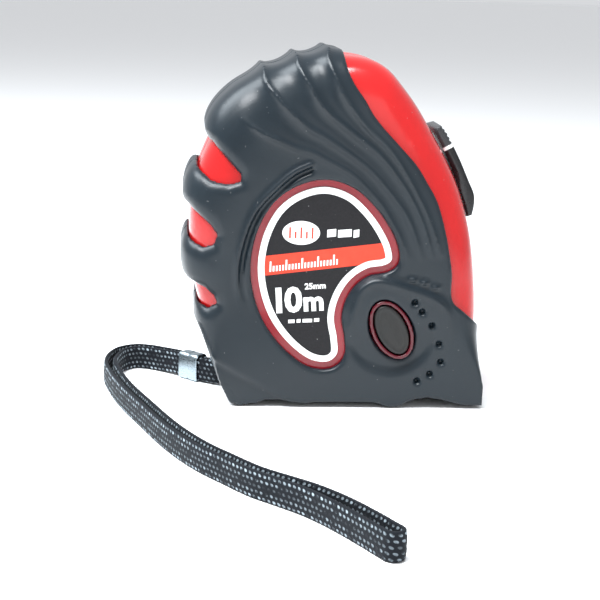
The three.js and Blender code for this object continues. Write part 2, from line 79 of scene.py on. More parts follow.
def soft_light(name, at, aim, width, height, power, colour):
    lamp = bpy.data.lights.new(name, "AREA")
    lamp.shape, lamp.size, lamp.size_y, lamp.energy, lamp.color = "RECTANGLE", width, height, power, colour
    holder = bpy.data.objects.new(name, lamp)
    scene.collection.objects.link(holder)
    holder.location = at
    holder.rotation_euler = (Vector(aim) - Vector(at)).to_track_quat("-Z", "Y").to_euler()


soft_light("top_light", (-0.26, -0.26, 0.58), (0, 0, 0.05), 0.20, 0.18, 3.6, (0.96, 0.98, 1.0))
soft_light("front_light", (0.30, -0.80, 0.30), (0, 0, 0.04), 0.4, 0.3, 0.5, (1.0, 0.98, 0.96))
soft_light("left_light", (-0.42, 0.08, 0.60), (0, 0, 0.05), 0.46, 0.46, 7.0, (0.88, 0.95, 1.0))
soft_light("high_light", (-0.05, -0.14, 0.58), (0, 0, 0.05), 0.30, 0.14, 3.2, (0.92, 0.97, 1.0))

back = Vector((math.sin(CAMERA_TURN) * math.cos(CAMERA_RISE), -math.cos(CAMERA_TURN) * math.cos(CAMERA_RISE),
               math.sin(CAMERA_RISE)))
level = Vector((math.cos(CAMERA_TURN), math.sin(CAMERA_TURN), 0))
upward = back.cross(level)
across = math.cos(CAMERA_ROLL) * level + math.sin(CAMERA_ROLL) * upward
upright = back.cross(across)
camera = bpy.data.objects.new("camera", bpy.data.cameras.new("camera"))
camera.data.lens, camera.data.sensor_width, camera.data.clip_start = CAMERA_LENS, 36, 0.01
camera.matrix_world = Matrix((
    (across.x, upright.x, back.x, 0), (across.y, upright.y, back.y, 0), (across.z, upright.z, back.z, 0),
    (0, 0, 0, 1)))
camera.location = CAMERA_TARGET + CAMERA_DISTANCE * back
scene.collection.objects.link(camera)
scene.camera = camera


# ---- Wrist strap ----
# A flat braid of black polyester with rows of white flecks, doubled and clamped in a steel crimp.
# It lies on its edge on the table; the short end goes into the rear corner round a pin.
SHELL_SHIFT = np.array([-0.3, -3.0, 0.0])
BRAID_WIDTH, BRAID_THICK = 6.2, 1.1
YARN_ROW, STITCH, BRAID_STEP = 1.24, 1.36, 0.34  # height of a row, length of a stitch, space between rings
CRIMP_RUN_GAP, RUN_GAP, OPEN_GAP = 0.8, 1.2, 1.9  # half the space between the two runs
STRAP_ROUTE = [(-35.2, 4.2), (-37, 6), (-38.8, 7.8), (-42, 10.8), (-46, 13.8), (-50.4, 15), (-54, 12.6),
               (-56.2, 7), (-56.8, 0), (-55.4, -8.4), (-52.3, -20.4), (-46.2, -37.8), (-39.7, -54.9),
               (-33.5, -67.1), (-28.1, -75), (-22.1, -83.1), (-16.4, -88.6), (-11.4, -93.6), (-6.6, -100),
               (-1.9, -107.8), (1.2, -113.6), (2.3, -115.6)]
ANCHOR_ROUTE = [(-34.9, 3.9), (-33.5, 2.5), (-32, 1.1), (-30.2, 0.3), (-28.4, 0), (-25.2, 0)]


def place(points):
    """Points of the shells' frame, in mm, to the part's frame in metres."""
    return (np.asarray(points, float) + SHELL_SHIFT) * 0.001


def ease(x, start, end):
    t = np.clip((np.asarray(x, float) - start) / (end - start), 0, 1)
    return t * t * (3 - 2 * t)


def curve_through(points, per, closed=False):
    """Centripetal Catmull-Rom line through the given points."""
    p = np.asarray(points, float)
    p = np.vstack([p[-1], p, p[:2]]) if closed else np.vstack([2 * p[0] - p[1], p, 2 * p[-1] - p[-2]])
    out = []
    for a, b, c, d in zip(p[:-3], p[1:-2], p[2:-1], p[3:]):
        spans = [max(np.linalg.norm(e - s), 1e-6) ** 0.5 for s, e in ((a, b), (b, c), (c, d))]
        knots = np.cumsum([0] + spans)
        for t in np.linspace(knots[1], knots[2], per, endpoint=False):
            def mix(p0, p1, t0, t1):
                return ((t1 - t) * p0 + (t - t0) * p1) / (t1 - t0)
            ab, bc, cd = (mix(a, b, knots[0], knots[1]), mix(b, c, knots[1], knots[2]),
                          mix(c, d, knots[2], knots[3]))
            abc, bcd = mix(ab, bc, knots[0], knots[2]), mix(bc, cd, knots[1], knots[3])
            out.append(mix(abc, bcd, knots[1], knots[2]))
    if not closed:
        out.append(p[-2])
    return np.array(out)


def evenly(points, step):
    """The same line with its points a fixed distance apart."""
    run = np.concatenate([[0], np.cumsum(np.linalg.norm(np.diff(points, axis=0), axis=1))])
    s = np.linspace(0, run[-1], max(2, int(round(run[-1] / step)) + 1))
    return np.stack([np.interp(s, run, points[:, i]) for i in range(points.shape[1])], axis=1)


def doubled(route, half_gap):
    """Line that goes out along one side of a route, round its end and back along the other side."""
    along = np.gradient(route, axis=0)
    along /= np.linalg.norm(along, axis=1)[:, None]
    side = np.stack([along[:, 1], -along[:, 0]], axis=1)
    u = np.linspace(0, 1, len(route))
    gap = half_gap(u)[:, None]
    turn = np.linspace(0, math.pi, 9)[1:-1, None]
    fold = route[-1] + gap[-1] * (np.cos(turn) * side[-1] + np.sin(turn) * along[-1])
    return np.vstack([route + gap * side, fold, (route - gap * side)[::-1]])


def tube_faces(rings, around, closed=False):
    """Quads between rings of points that follow each other; an open tube gets a face at each end."""
    faces = []
    for r in range(rings if closed else rings - 1):
        a, b = r * around, (r + 1) % rings * around
        faces += [(a + j, a + (j + 1) % around, b + (j + 1) % around, b + j) for j in range(around)]
    if not closed:
        faces += [tuple(range(around))[::-1], tuple(range((rings - 1) * around, rings * around))]
    return faces


def turned_over(faces):
    return [face[::-1] for face in faces]


def add_piece(name, mesh, body, nodes):
    """Puts a finished mesh in the scene on its body, in place of the nodes that it stands for."""
    made = bpy.data.objects.new(name, mesh)
    scene.collection.objects.link(made)
    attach(made, body)
    if nodes:
        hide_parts(*nodes)
    return made


def make_object(name, points, faces, body, material, slot, *nodes, smooth=True):
    """Piece from points in the shells' frame."""
    mesh = bpy.data.meshes.new(name)
    mesh.from_pydata(place(points).tolist(), [], faces)
    mesh.materials.append(material)
    mesh.shade_smooth() if smooth else mesh.shade_flat()
    return add_piece(name, mesh, body, nodes)


def new_material(name, colour, roughness, metallic=0.0):
    """Material with a Principled shader; returns it with its node tree's handy parts."""
    material = bpy.data.materials.new(name)
    material.use_nodes = True
    shader = material.node_tree.nodes["Principled BSDF"]
    shader.inputs["Base Color"].default_value = (*colour, 1)
    shader.inputs["Roughness"].default_value = roughness
    shader.inputs["Metallic"].default_value = metallic
    return material, material.node_tree, shader


def add_node(tree, kind, settings=None, **values):
    """Adds a shader node; values are its inputs by name or as inN, a socket or a constant."""
    node = tree.nodes.new(kind)
    for key, value in (settings or {}).items():
        setattr(node, key, value)
    for key, value in values.items():
        socket = node.inputs[int(key[2:])] if key.startswith("in") else node.inputs[key.replace("_", " ")]
        if isinstance(value, bpy.types.NodeSocket):
            tree.links.new(value, socket)
        else:
            socket.default_value = value
    return node


def maths(tree, operation, *values):
    return add_node(tree, "ShaderNodeMath", {"operation": operation},
                    **{f"in{i}": v for i, v in enumerate(values)}).outputs[0]


def noise(tree, where, scale, detail, roughness=0.5):
    return add_node(tree, "ShaderNodeTexNoise", None, Vector=where, Scale=scale, Detail=detail,
                    Roughness=roughness).outputs[0]


def ramp(tree, value, start, end, low=0.0, high=1.0, shape="LINEAR"):
    """Takes a value's range from start to end over to the range from low to high."""
    return add_node(tree, "ShaderNodeMapRange", {"interpolation_type": shape}, Value=value, From_Min=start,
                    From_Max=end, To_Min=low, To_Max=high).outputs[0]


def blend_colour(tree, factor, first, second):
    node = tree.nodes.new("ShaderNodeMix")
    node.data_type = "RGBA"
    sockets = (node.inputs["Factor"], node.inputs[6], node.inputs[7])
    for socket, value in zip(sockets, (factor, first, second)):
        if isinstance(value, bpy.types.NodeSocket):
            tree.links.new(value, socket)
        else:
            socket.default_value = value if isinstance(value, float) else (*value, 1)
    return node.outputs[2]


# the yarns: a dark ground with rows of white flecks, each fleck a short slanted stitch
braid_cloth, tree, shader = new_material("black_braid", (0.012, 0.014, 0.018), 0.75)
weave = add_node(tree, "ShaderNodeUVMap", {"uv_map": "weave"}).outputs[0]
along_mm, across_mm = add_node(tree, "ShaderNodeSeparateXYZ", None, Vector=weave).outputs[:2]
rows_up = maths(tree, "DIVIDE", across_mm, YARN_ROW)
row, row_index = maths(tree, "FRACT", rows_up), maths(tree, "FLOOR", rows_up)
stitches = maths(tree, "DIVIDE", along_mm, STITCH)
staggered = maths(tree, "ADD", stitches, maths(tree, "MULTIPLY", row_index, 0.5))
slant = maths(tree, "ADD", staggered, maths(tree, "MULTIPLY", row, 0.35))
off_middle = [maths(tree, "DIVIDE", maths(tree, "ABSOLUTE", maths(tree, "SUBTRACT", place_in, 0.5)), half)
              for place_in, half in ((maths(tree, "FRACT", slant), 0.30), (row, 0.27))]
reach = maths(tree, "SQRT", maths(tree, "ADD", *[maths(tree, "POWER", off, 2.0) for off in off_middle]))
patchy = ramp(tree, noise(tree, weave, 0.55, 2.0), 0.40, 0.60, 0.04, 1.0)
fibre = noise(tree, weave, 7.0, 3.0)
from_middle_row = maths(tree, "ABSOLUTE", maths(tree, "SUBTRACT", row_index, 2.0))
fleck = maths(tree, "MULTIPLY", ramp(tree, reach, 1.15, 0.7, shape="SMOOTHSTEP"),
              ramp(tree, from_middle_row, 0.0, 2.0, 0.3, 0.95))
ground = blend_colour(tree, fibre, (0.002, 0.0025, 0.004), (0.010, 0.013, 0.018))
tree.links.new(blend_colour(tree, maths(tree, "MULTIPLY", fleck, patchy), ground, (0.36, 0.43, 0.48)),
               shader.inputs["Base Color"])
bump = add_node(tree, "ShaderNodeBump", None, Strength=0.5, Distance=0.00012,
                Height=maths(tree, "ADD", fleck, maths(tree, "MULTIPLY", fibre, 0.5)))
tree.links.new(bump.outputs[0], shader.inputs["Normal"])
shader.inputs["Sheen Weight"].default_value = 0.03
shader.inputs["Specular IOR Level"].default_value = 0.15


def braid(name, centre, lift, node, phase):
    """Flat woven ribbon on its edge along a line on the table, with its yarns standing up from it."""
    path = evenly(centre, BRAID_STEP)
    count = len(path)
    along = np.gradient(path, axis=0)
    along /= np.linalg.norm(along, axis=1)[:, None]
    side = np.stack([along[:, 1], -along[:, 0]], axis=1)
    run = np.arange(count) * BRAID_STEP
    around, half_w, half_t = 34, BRAID_WIDTH / 2, BRAID_THICK / 2
    turn = np.arange(around) / around * 2 * math.pi
    height = half_w * np.sign(np.sin(turn)) * np.abs(np.sin(turn)) ** 0.7
    out = half_t * np.sign(np.cos(turn)) * np.abs(np.cos(turn)) ** 0.45
    rows = (height + half_w) / YARN_ROW + phase
    stitch = run[:, None] / STITCH + np.floor(rows)[None] * 0.5 + 0.35 * (rows % 1)[None]
    bulge = 0.11 * np.cos((stitch % 1 - 0.5) * 2 * math.pi) * np.cos((rows[None] % 1 - 0.5) * math.pi)
    edge = 0.10 * np.cos(run * 2 * math.pi / STITCH)
    reach_out = out[None] + np.sign(out)[None] * (bulge + 0.02) * (np.abs(out) > 0.4 * half_t)[None]
    z = lift(run)[:, None] + half_w + height[None] * (1 + edge[:, None] * 0.05)
    xy = path[:, None, :] + side[:, None, :] * reach_out[:, :, None]
    points = np.concatenate([xy, z[:, :, None]], axis=2).reshape(-1, 3)
    made = make_object(name, points, tube_faces(count, around), "case", braid_cloth, "braid", node)
    uv = made.data.uv_layers.new(name="weave")
    loops = np.empty(len(made.data.loops), int)
    made.data.loops.foreach_get("vertex_index", loops)
    coords = np.stack([run[loops // around], height[loops % around] + half_w + phase * YARN_ROW], axis=1)
    uv.data.foreach_set("uv", coords.ravel())
    return made


def run_gap(u):
    """Half the space between the strap's two runs, which part towards the far fold."""
    return (CRIMP_RUN_GAP + (RUN_GAP - CRIMP_RUN_GAP) * ease(u, 0.07, 0.2)
            + (OPEN_GAP - RUN_GAP) * ease(u, 0.72, 0.9))


def strap_lift(run):
    """The strap lies on the table and rises a little to the crimp at both its ends."""
    return 0.12 + 0.45 * (ease(run, 14, 4) + ease(run, strap_length - 14, strap_length - 4))


strap_line = doubled(curve_through(STRAP_ROUTE, 10), run_gap)
strap_length = np.linalg.norm(np.diff(strap_line, axis=0), axis=1).sum()
strap_braid = braid("wrist_strap", strap_line, strap_lift, "strap_braid", 0.0)
anchor_line = doubled(curve_through(ANCHOR_ROUTE, 8), lambda u: CRIMP_RUN_GAP + 1.5 * ease(u, 0.4, 1))
anchor_braid = braid("strap_short_end", anchor_line, lambda run: 0.55 + 0 * run, "strap_anchor_loop", 0.5)


def rounded_box(width, depth, radius, steps=5):
    """Outline of a rectangle with rounded corners about its middle."""
    out = []
    for cx, cy, start in ((1, 1, 0), (-1, 1, 1), (-1, -1, 2), (1, -1, 3)):
        for i in range(steps + 1):
            a = (start + i / steps) * math.pi / 2
            out.append((cx * (width / 2 - radius) + radius * math.cos(a),
                        cy * (depth / 2 - radius) + radius * math.sin(a)))
    return np.array(out)


# How every hard or moulded surface looks close up: two tones in soft patches, a fine grain, a change of gloss
# with handling, and a little dust.
surface = bpy.data.node_groups.new("handled_surface", "ShaderNodeTree")
for socket_name, kind, value in (
        ("Vector", "NodeSocketVector", None), ("Dark", "NodeSocketColor", (0, 0, 0, 1)),
        ("Light", "NodeSocketColor", (1, 1, 1, 1)), ("Dust Colour", "NodeSocketColor", (0.3, 0.3, 0.3, 1)),
        ("Patch Scale", "NodeSocketFloat", 50.0), ("Grain Scale", "NodeSocketFloat", 2400.0),
        ("Grain Depth", "NodeSocketFloat", 0.2), ("Smoothest", "NodeSocketFloat", 0.3),
        ("Roughest", "NodeSocketFloat", 0.4), ("Dust", "NodeSocketFloat", 0.0)):
    socket = surface.interface.new_socket(socket_name, in_out="INPUT", socket_type=kind)
    if value is not None:
        socket.default_value = value
for socket_name, kind in (("Colour", "NodeSocketColor"), ("Roughness", "NodeSocketFloat"),
                          ("Normal", "NodeSocketVector")):
    surface.interface.new_socket(socket_name, in_out="OUTPUT", socket_type=kind)
given = surface.nodes.new("NodeGroupInput").outputs
result = surface.nodes.new("NodeGroupOutput").inputs
patch = noise(surface, given["Vector"], given["Patch Scale"], 4.0, 0.6)
specks = ramp(surface, noise(surface, given["Vector"], 1500.0, 0.0), 0.85, 0.88)
tones = blend_colour(surface, patch, given["Dark"], given["Light"])
dusty = blend_colour(surface, maths(surface, "MULTIPLY", specks, given["Dust"]), tones, given["Dust Colour"])
surface.links.new(dusty, result["Colour"])
surface.links.new(ramp(surface, patch, 0.3, 0.7, given["Smoothest"], given["Roughest"]), result["Roughness"])
surface.links.new(add_node(surface, "ShaderNodeBump", None, Strength=given["Grain Depth"], Distance=0.00005,
                           Height=noise(surface, given["Vector"], given["Grain Scale"], 2.0)).outputs[0],
                  result["Normal"])


def finish(name, dark, light, smoothest, roughest, patch=50.0, grain=2400.0, depth=0.2, dust=0.0,
           metallic=0.0, specular=0.5, stretch=(1, 1, 1)):
    """Material with the handled surface in it; returns it with its tree, shader, colour and place."""
    material, tree, shader = new_material(name, light, smoothest, metallic)
    shader.inputs["Specular IOR Level"].default_value = specular
    where = add_node(tree, "ShaderNodeTexCoord").outputs["Object"]
    stretched = add_node(tree, "ShaderNodeMapping", None, Vector=where, Scale=stretch).outputs[0]
    group = add_node(tree, "ShaderNodeGroup", {"node_tree": surface}, Vector=stretched, Dark=(*dark, 1),
                     Light=(*light, 1), Patch_Scale=patch, Grain_Scale=grain, Grain_Depth=depth,
                     Smoothest=smoothest, Roughest=roughest, Dust=dust)
    tree.links.new(group.outputs["Colour"], shader.inputs["Base Color"])
    tree.links.new(group.outputs["Roughness"], shader.inputs["Roughness"])
    tree.links.new(group.outputs["Normal"], shader.inputs["Normal"])
    return material, tree, shader, group.outputs["Colour"], where


# The crimp: bright steel sheet folded flat round both runs, its cut edges rolled.
CRIMP_LENGTH, CRIMP_THICK, CRIMP_TALL, CRIMP_SHEET = 6.8, 4.2, 7.3, 0.45
crimp_steel = finish("crimp_steel", (0.24, 0.32, 0.37), (0.52, 0.59, 0.63), 0.2, 0.4, patch=0.6, grain=1.0,
                     depth=0.3, metallic=1.0, stretch=(900, 900, 9000))[0]
half_length = CRIMP_LENGTH / 2
stations = [
    (-half_length, 0.25), (-half_length + 0.12, 0.06), (-half_length + 0.35, 0.0), (-0.4, 0.0), (0.0, 0.16),
    (0.4, 0.0), (half_length - 0.35, 0.0), (half_length - 0.12, 0.06), (half_length, 0.25)]
rings = []
for along_x, inset in stations:
    ring = rounded_box(CRIMP_THICK - 2 * inset, CRIMP_TALL - 2 * inset, 0.9)
    rings.append(np.column_stack([np.full(len(ring), along_x), ring]))
for along_x, inset in stations[::-1]:
    inner = CRIMP_SHEET - min(inset, 0.2)
    ring = rounded_box(CRIMP_THICK - 2 * inner, CRIMP_TALL - 2 * inner, 0.5)
    rings.append(np.column_stack([np.full(len(ring), along_x * 0.995), ring]))
crimp_points = np.vstack(rings)
c45 = math.sqrt(0.5)
turned = np.column_stack([-c45 * crimp_points[:, 0] + c45 * crimp_points[:, 1] - 35.1,
                          c45 * crimp_points[:, 0] + c45 * crimp_points[:, 1] + 4.1,
                          crimp_points[:, 2] + CRIMP_TALL / 2 + 0.06])
crimp_faces = tube_faces(len(rings), len(rings[0]), closed=True)
strap_crimp = make_object("crimp", turned, crimp_faces, "case", crimp_steel, "steel", "strap_crimp")


strap_middle = evenly(strap_line, 0.8)
strap_middle = place(np.column_stack([strap_middle, np.full(len(strap_middle), 3.3)]))


# ---- Red case halves ----
# Two glossy ABS mouldings that meet on the middle plane, screwed together from the far side.
# They hold the reel, and show in the finger slots, down the front and round the label.
STEP = 0.5  # spacing of the grid that the shells are shaped on
CASE_HALF, CASE_WALL, SEAM = 19.2, 1.9, 0.15
RIM_HALF, FACE_SCALE = 6.0, 0.6  # where the rounding from rim to side face starts and ends
CASE_LINE = [
    (-23.8, 2.2), (-26.4, 6), (-28.9, 12), (-31.9, 19), (-34.2, 26), (-36, 34), (-36.7, 42), (-36.6, 50),
    (-35, 58), (-32.5, 64.5), (-28.9, 71), (-24.2, 76.8), (-18, 81.8), (-10, 85.8), (-3, 87.7), (3, 88.1),
    (8.5, 87.1), (12.5, 84.9), (16, 81.2), (20.1, 76), (24.1, 69.7), (28, 63.2), (31.4, 56.4),
    (33.7, 50), (35.6, 43), (37, 34), (37.7, 26), (37.6, 19.5), (36.4, 14.6), (36, 8), (35.8, 2.2)]
BUTTON_AT = (14.6, 20.8)
LOCK_CENTRE, LOCK_RADIUS = (-55.2, 21.0), 93.6
SCREW_PLACES = [(-22.5, 67), (20, 66), (34.2, 16.5), (-27.2, 15.2)]
GRID_ENDS = ((-41.0, 42.0), (-24.0, 1.45), (-1.5, 93.0))
X_LINE, Y_LINE, Z_LINE = (np.arange(low, high, STEP) for low, high in GRID_ENDS)
GRID_X, GRID_Z = np.meshgrid(X_LINE, Z_LINE, indexing="ij")


def distance_to(outline, x, z, closed=True):
    """Signed distance to a closed outline, negative inside, or plain distance to an open line."""
    outline = np.asarray(outline, float)
    ends = np.roll(outline, -1, axis=0) if closed else outline[1:]
    nearest, inside = np.full(x.shape, 1e9), np.zeros(x.shape, bool)
    for (ax, az), (bx, bz) in zip(outline, ends):
        ex, ez = bx - ax, bz - az
        t = np.clip(((x - ax) * ex + (z - az) * ez) / max(ex * ex + ez * ez, 1e-12), 0, 1)
        nearest = np.minimum(nearest, (x - ax - t * ex) ** 2 + (z - az - t * ez) ** 2)
        if closed and az != bz:
            inside ^= ((az <= z) != (bz <= z)) & (x < ax + (z - az) / ez * ex)
    return np.where(inside, -1.0, 1.0) * np.sqrt(nearest)


def shell_field(outline, half, grow=0.0):
    """Distance to a case-shaped body, whose outline shrinks towards the side faces, apart from its base."""
    scales = np.linspace(0.48, 1.16, 18)
    reach = []
    for k in scales:
        z = GRID_Z.copy()
        for _ in range(5):
            z = GRID_Z + (1 - k) * np.maximum(0, z - 20) * ease(z, 20, 44)
        x = -1 + (GRID_X + 1) / (1 - (1 - k) * ease(z, 4, 34))
        reach.append(distance_to(outline, x, z) - grow)
    reach = np.array(reach)
    first = np.argmax(reach < 0, axis=0)
    never = ~(reach < 0).any(axis=0)
    first = np.clip(first, 1, len(scales) - 1)
    near, far = (np.take_along_axis(reach, which[None], 0)[0] for which in (first - 1, first))
    k = scales[first - 1] + (scales[1] - scales[0]) * near / np.where(near - far > 1e-9, near - far, 1e-9)
    k = np.where(never, scales[-1] + reach[-1] / 40, np.clip(k, 0.3, scales[-1]))
    u = (np.clip((k - FACE_SCALE) / (1 - FACE_SCALE), 0, None) ** (2 / 0.6))[:, None, :]
    v = (np.clip((np.abs(Y_LINE) - RIM_HALF) / (half + grow - RIM_HALF), 0, None) ** (2 / 0.6))[None, :, None]
    level = (u + v) ** 0.3 - 1
    slope = np.sqrt(sum(g ** 2 for g in np.gradient(level, STEP)))
    return np.clip(level / np.maximum(slope, 0.012), -9, 9)


def meet(a, b, fillet):
    """Keeps what is inside both, with a rounded edge."""
    h = np.maximum(fillet - np.abs(a - b), 0) / fillet
    return np.maximum(a, b) + h * h * fillet / 4


def join(a, b, fillet):
    return -meet(-a, -b, fillet)


def across_y(field):
    return field[:, None, :]


def from_spot(x, z):
    return np.hypot(GRID_X - x, GRID_Z - z)


def box_field(x0, x1, y0, y1, z0, z1):
    x, y, z = GRID_X[:, None, :], Y_LINE[None, :, None], GRID_Z[:, None, :]
    return np.maximum(np.maximum(np.abs(x - (x0 + x1) / 2) - (x1 - x0) / 2,
                                 np.abs(y - (y0 + y1) / 2) - (y1 - y0) / 2),
                      np.abs(z - (z0 + z1) / 2) - (z1 - z0) / 2) + 0 * x * y


def oval_line(grow, count=48):
    a = np.arange(count) / count * 2 * math.pi
    x, z = (3.75 + grow) * np.cos(a), (6.8 + grow) * np.sin(a)
    c, s = math.cos(0.48), math.sin(0.48)
    return np.column_stack([BUTTON_AT[0] + c * x - s * z, BUTTON_AT[1] + s * x + c * z])


def skin(field):
    """Surface nets: one point in each cell that the surface crosses, joined in quads."""
    inside = field < 0
    cells = np.array(field.shape) - 1
    total, count, crossings = np.zeros((3, cells.prod())), np.zeros(cells.prod()), []
    for axis in range(3):
        low, high = [slice(None)] * 3, [slice(None)] * 3
        low[axis] = slice(0, -1)
        high[axis] = slice(1, None)
        a, b = field[tuple(low)], field[tuple(high)]
        index = np.argwhere(inside[tuple(low)] != inside[tuple(high)])
        fa, fb = a[tuple(index.T)], b[tuple(index.T)]
        point = index.astype(float)
        point[:, axis] += fa / (fa - fb)
        p, q = (axis + 1) % 3, (axis + 2) % 3
        ring = []
        for dp, dq in ((0, 0), (-1, 0), (-1, -1), (0, -1)):
            cell = index.copy()
            cell[:, p] += dp
            cell[:, q] += dq
            ring.append(cell)
        whole = np.all([(c >= 0).all(axis=1) & (c < cells).all(axis=1) for c in ring], axis=0)
        ids = [np.ravel_multi_index(tuple(c[whole].T), tuple(cells)) for c in ring]
        for flat in ids:
            for i in range(3):
                total[i] += np.bincount(flat, point[whole][:, i], cells.prod())
            count += np.bincount(flat, minlength=cells.prod())
        crossings.append((np.array(ids).T, fa[whole] < 0))
    used = np.flatnonzero(count)
    number = np.full(cells.prod(), -1)
    number[used] = np.arange(len(used))
    points = (total[:, used] / count[used]).T * STEP + (X_LINE[0], Y_LINE[0], Z_LINE[0])
    quads = np.vstack([np.where(out[:, None], number[ids], number[ids[:, ::-1]]) for ids, out in crossings])
    return points, quads


def polished(points, quads, passes=3):
    """Light smoothing that takes the grid's grain off a surface without shrinking it."""
    edges = np.vstack([quads[:, [0, 1]], quads[:, [1, 2]], quads[:, [2, 3]], quads[:, [3, 0]]])
    degree = np.bincount(edges.ravel(), minlength=len(points))[:, None]
    for weight in (0.5, -0.52) * passes:
        total = np.stack([np.bincount(edges[:, 0], points[edges[:, 1], i], len(points))
                          + np.bincount(edges[:, 1], points[edges[:, 0], i], len(points))
                          for i in range(3)], axis=1)
        points = points + weight * (total / np.maximum(degree, 1) - points)
    return points


def shell_object(name, field, mirrored, material, node):
    """Piece from a field on the grid, mirrored to the far side or not."""
    points, quads = skin(field)
    points = polished(points, quads)
    if mirrored:
        points, quads = points * (1, -1, 1), quads[:, ::-1]
    mesh = bpy.data.meshes.new(name)
    mesh.vertices.add(len(points))
    mesh.vertices.foreach_set("co", place(points).ravel())
    mesh.loops.add(quads.size)
    mesh.loops.foreach_set("vertex_index", quads.ravel())
    mesh.polygons.add(len(quads))
    mesh.polygons.foreach_set("loop_start", np.arange(len(quads)) * 4)
    mesh.materials.append(material)
    mesh.update(calc_edges=True)
    mesh.shade_smooth()
    return add_piece(name, mesh, "case", [node])


case_outline = np.vstack([curve_through(CASE_LINE, 3), [(24, 2.2), (10, 2.2), (-4, 2.2), (-16, 2.2)]])
case_outer = shell_field(case_outline, CASE_HALF)
case_hollow = shell_field(case_outline, CASE_HALF, grow=-CASE_WALL)
depth = np.abs(Y_LINE)[None, :, None]
seam_cut = Y_LINE[None, :, None] + SEAM + 0 * case_outer
arch = distance_to([(17.0, 1), (19.5, 4.0), (30.5, 4.0), (34.5, 1), (34.5, -4), (17.0, -4)], GRID_X, GRID_Z)
mouth = box_field(31.8, 45, -13.4, 13.4, 2.0, 11.9)
strap_slot = box_field(-40, -21.8, -3.3, 3.3, -1, 9)
lock_slot = np.maximum(np.abs(from_spot(*LOCK_CENTRE) - 93) - 6, np.abs(GRID_Z - 53.4) - 8.0)
lock_slot = np.maximum(across_y(lock_slot), depth - 2.3)
case_body = meet(case_outer, -across_y(arch), 0.4)
for opening in (case_hollow, mouth, lock_slot, strap_slot):
    case_body = meet(case_body, -opening, 0.4)
case_body = meet(case_body, seam_cut, 0.3)

# the collar round the side button stands up from the right half
collar = np.abs(distance_to(oval_line(0.8), GRID_X, GRID_Z)) - 0.45
collar = np.maximum(across_y(collar), np.abs(Y_LINE + 20.4)[None, :, None] - 1.7)
button_well = across_y(distance_to(oval_line(0.35), GRID_X, GRID_Z))
case_right_body = meet(case_body, -np.maximum(button_well, Y_LINE[None, :, None] + 18.9), 0.3)
case_right_body = join(case_right_body, collar, 0.5)

# screw posts inside both halves; the far half takes the heads in counterbores
from_screw = across_y(np.min([from_spot(x, z) for x, z in SCREW_PLACES], axis=0))
posts = np.maximum(np.maximum(from_screw - 2.9, depth - CASE_HALF + 1), case_outer)
bores = np.minimum(from_screw - 1.4 + 0 * depth, np.maximum(from_screw - 2.65, 14.4 - depth))
threads = np.maximum(from_screw - 1.25, depth - 12.4)
case_left_body = meet(join(case_body, posts, 0.3), -bores, 0.25)
case_right_body = meet(join(case_right_body, posts, 0.3), -threads, 0.25)
case_right_body = meet(case_right_body, -across_y(from_spot(*BUTTON_AT) - 2.35), 0.3)

# painted shade: the red is darkened in the recessed ring round the label, and darkened more in the button's
# collar
red_gloss, tree, shader, tone, where = finish(
    "red_gloss", (0.40, 0.007, 0.009), (0.50, 0.011, 0.010), 0.15, 0.25, patch=60.0, grain=900.0, depth=0.1,
    dust=0.3, specular=0.4)
flat_place = add_node(tree, "ShaderNodeVectorMath", {"operation": "MULTIPLY"}, in0=where, in1=(1, 0, 1))
from_button = add_node(tree, "ShaderNodeVectorMath", {"operation": "DISTANCE"}, in0=flat_place.outputs[0],
                       in1=(0.001 * (BUTTON_AT[0] - 0.3), 0, 0.001 * BUTTON_AT[1])).outputs["Value"]
# painted shade for the recessed ring round the label, read from a point attribute on each case half
round_label = add_node(tree, "ShaderNodeAttribute", {"attribute_name": "round_label"}).outputs["Fac"]
tone = blend_colour(tree, round_label, tone, (0.28, 0.012, 0.020))
# painted shade: dark maroon inside the button's collar, set by distance from the button's axis
tone = blend_colour(tree, ramp(tree, from_button, 0.0102, 0.0094), tone, (0.085, 0.006, 0.012))
tree.links.new(tone, shader.inputs["Base Color"])
shader.inputs["Coat Weight"].default_value = 0.15
shader.inputs["Coat Roughness"].default_value = 0.08
LABEL_LINE = [
    (-3.5, 56.5), (-9.7, 54.9), (-14.6, 51.2), (-18, 45), (-19.5, 37.2), (-18.7, 29.9), (-15.9, 22.7),
    (-10.9, 16.3), (-5.2, 12.3), (-0.9, 12), (1.1, 13.9), (1, 17.8), (0, 23.4), (1, 28.6), (3.9, 33.4),
    (8.1, 36.3), (12.2, 37.1), (13.9, 38.3), (13.5, 41.6), (11.1, 46.3), (7.4, 51), (2.6, 54.9)]
for half in (shell_object("case_half_right", case_right_body, False, red_gloss, "case_right"),
             shell_object("case_half_left", case_left_body, True, red_gloss, "case_left")):
    spots = np.empty(len(half.data.vertices) * 3)
    half.data.vertices.foreach_get("co", spots)
    spots = spots.reshape(-1, 3) * 1000 - SHELL_SHIFT
    # how much painted shade each point takes: full in the ring round the label, none away from it
    to_label = distance_to(curve_through(LABEL_LINE, 3, closed=True), spots[:, 0], spots[:, 2])
    ring_shade_share = half.data.attributes.new("round_label", "FLOAT", "POINT")
    ring_shade_share.data.foreach_set("value", 1 - ease(to_label, 2.2, 3.2))


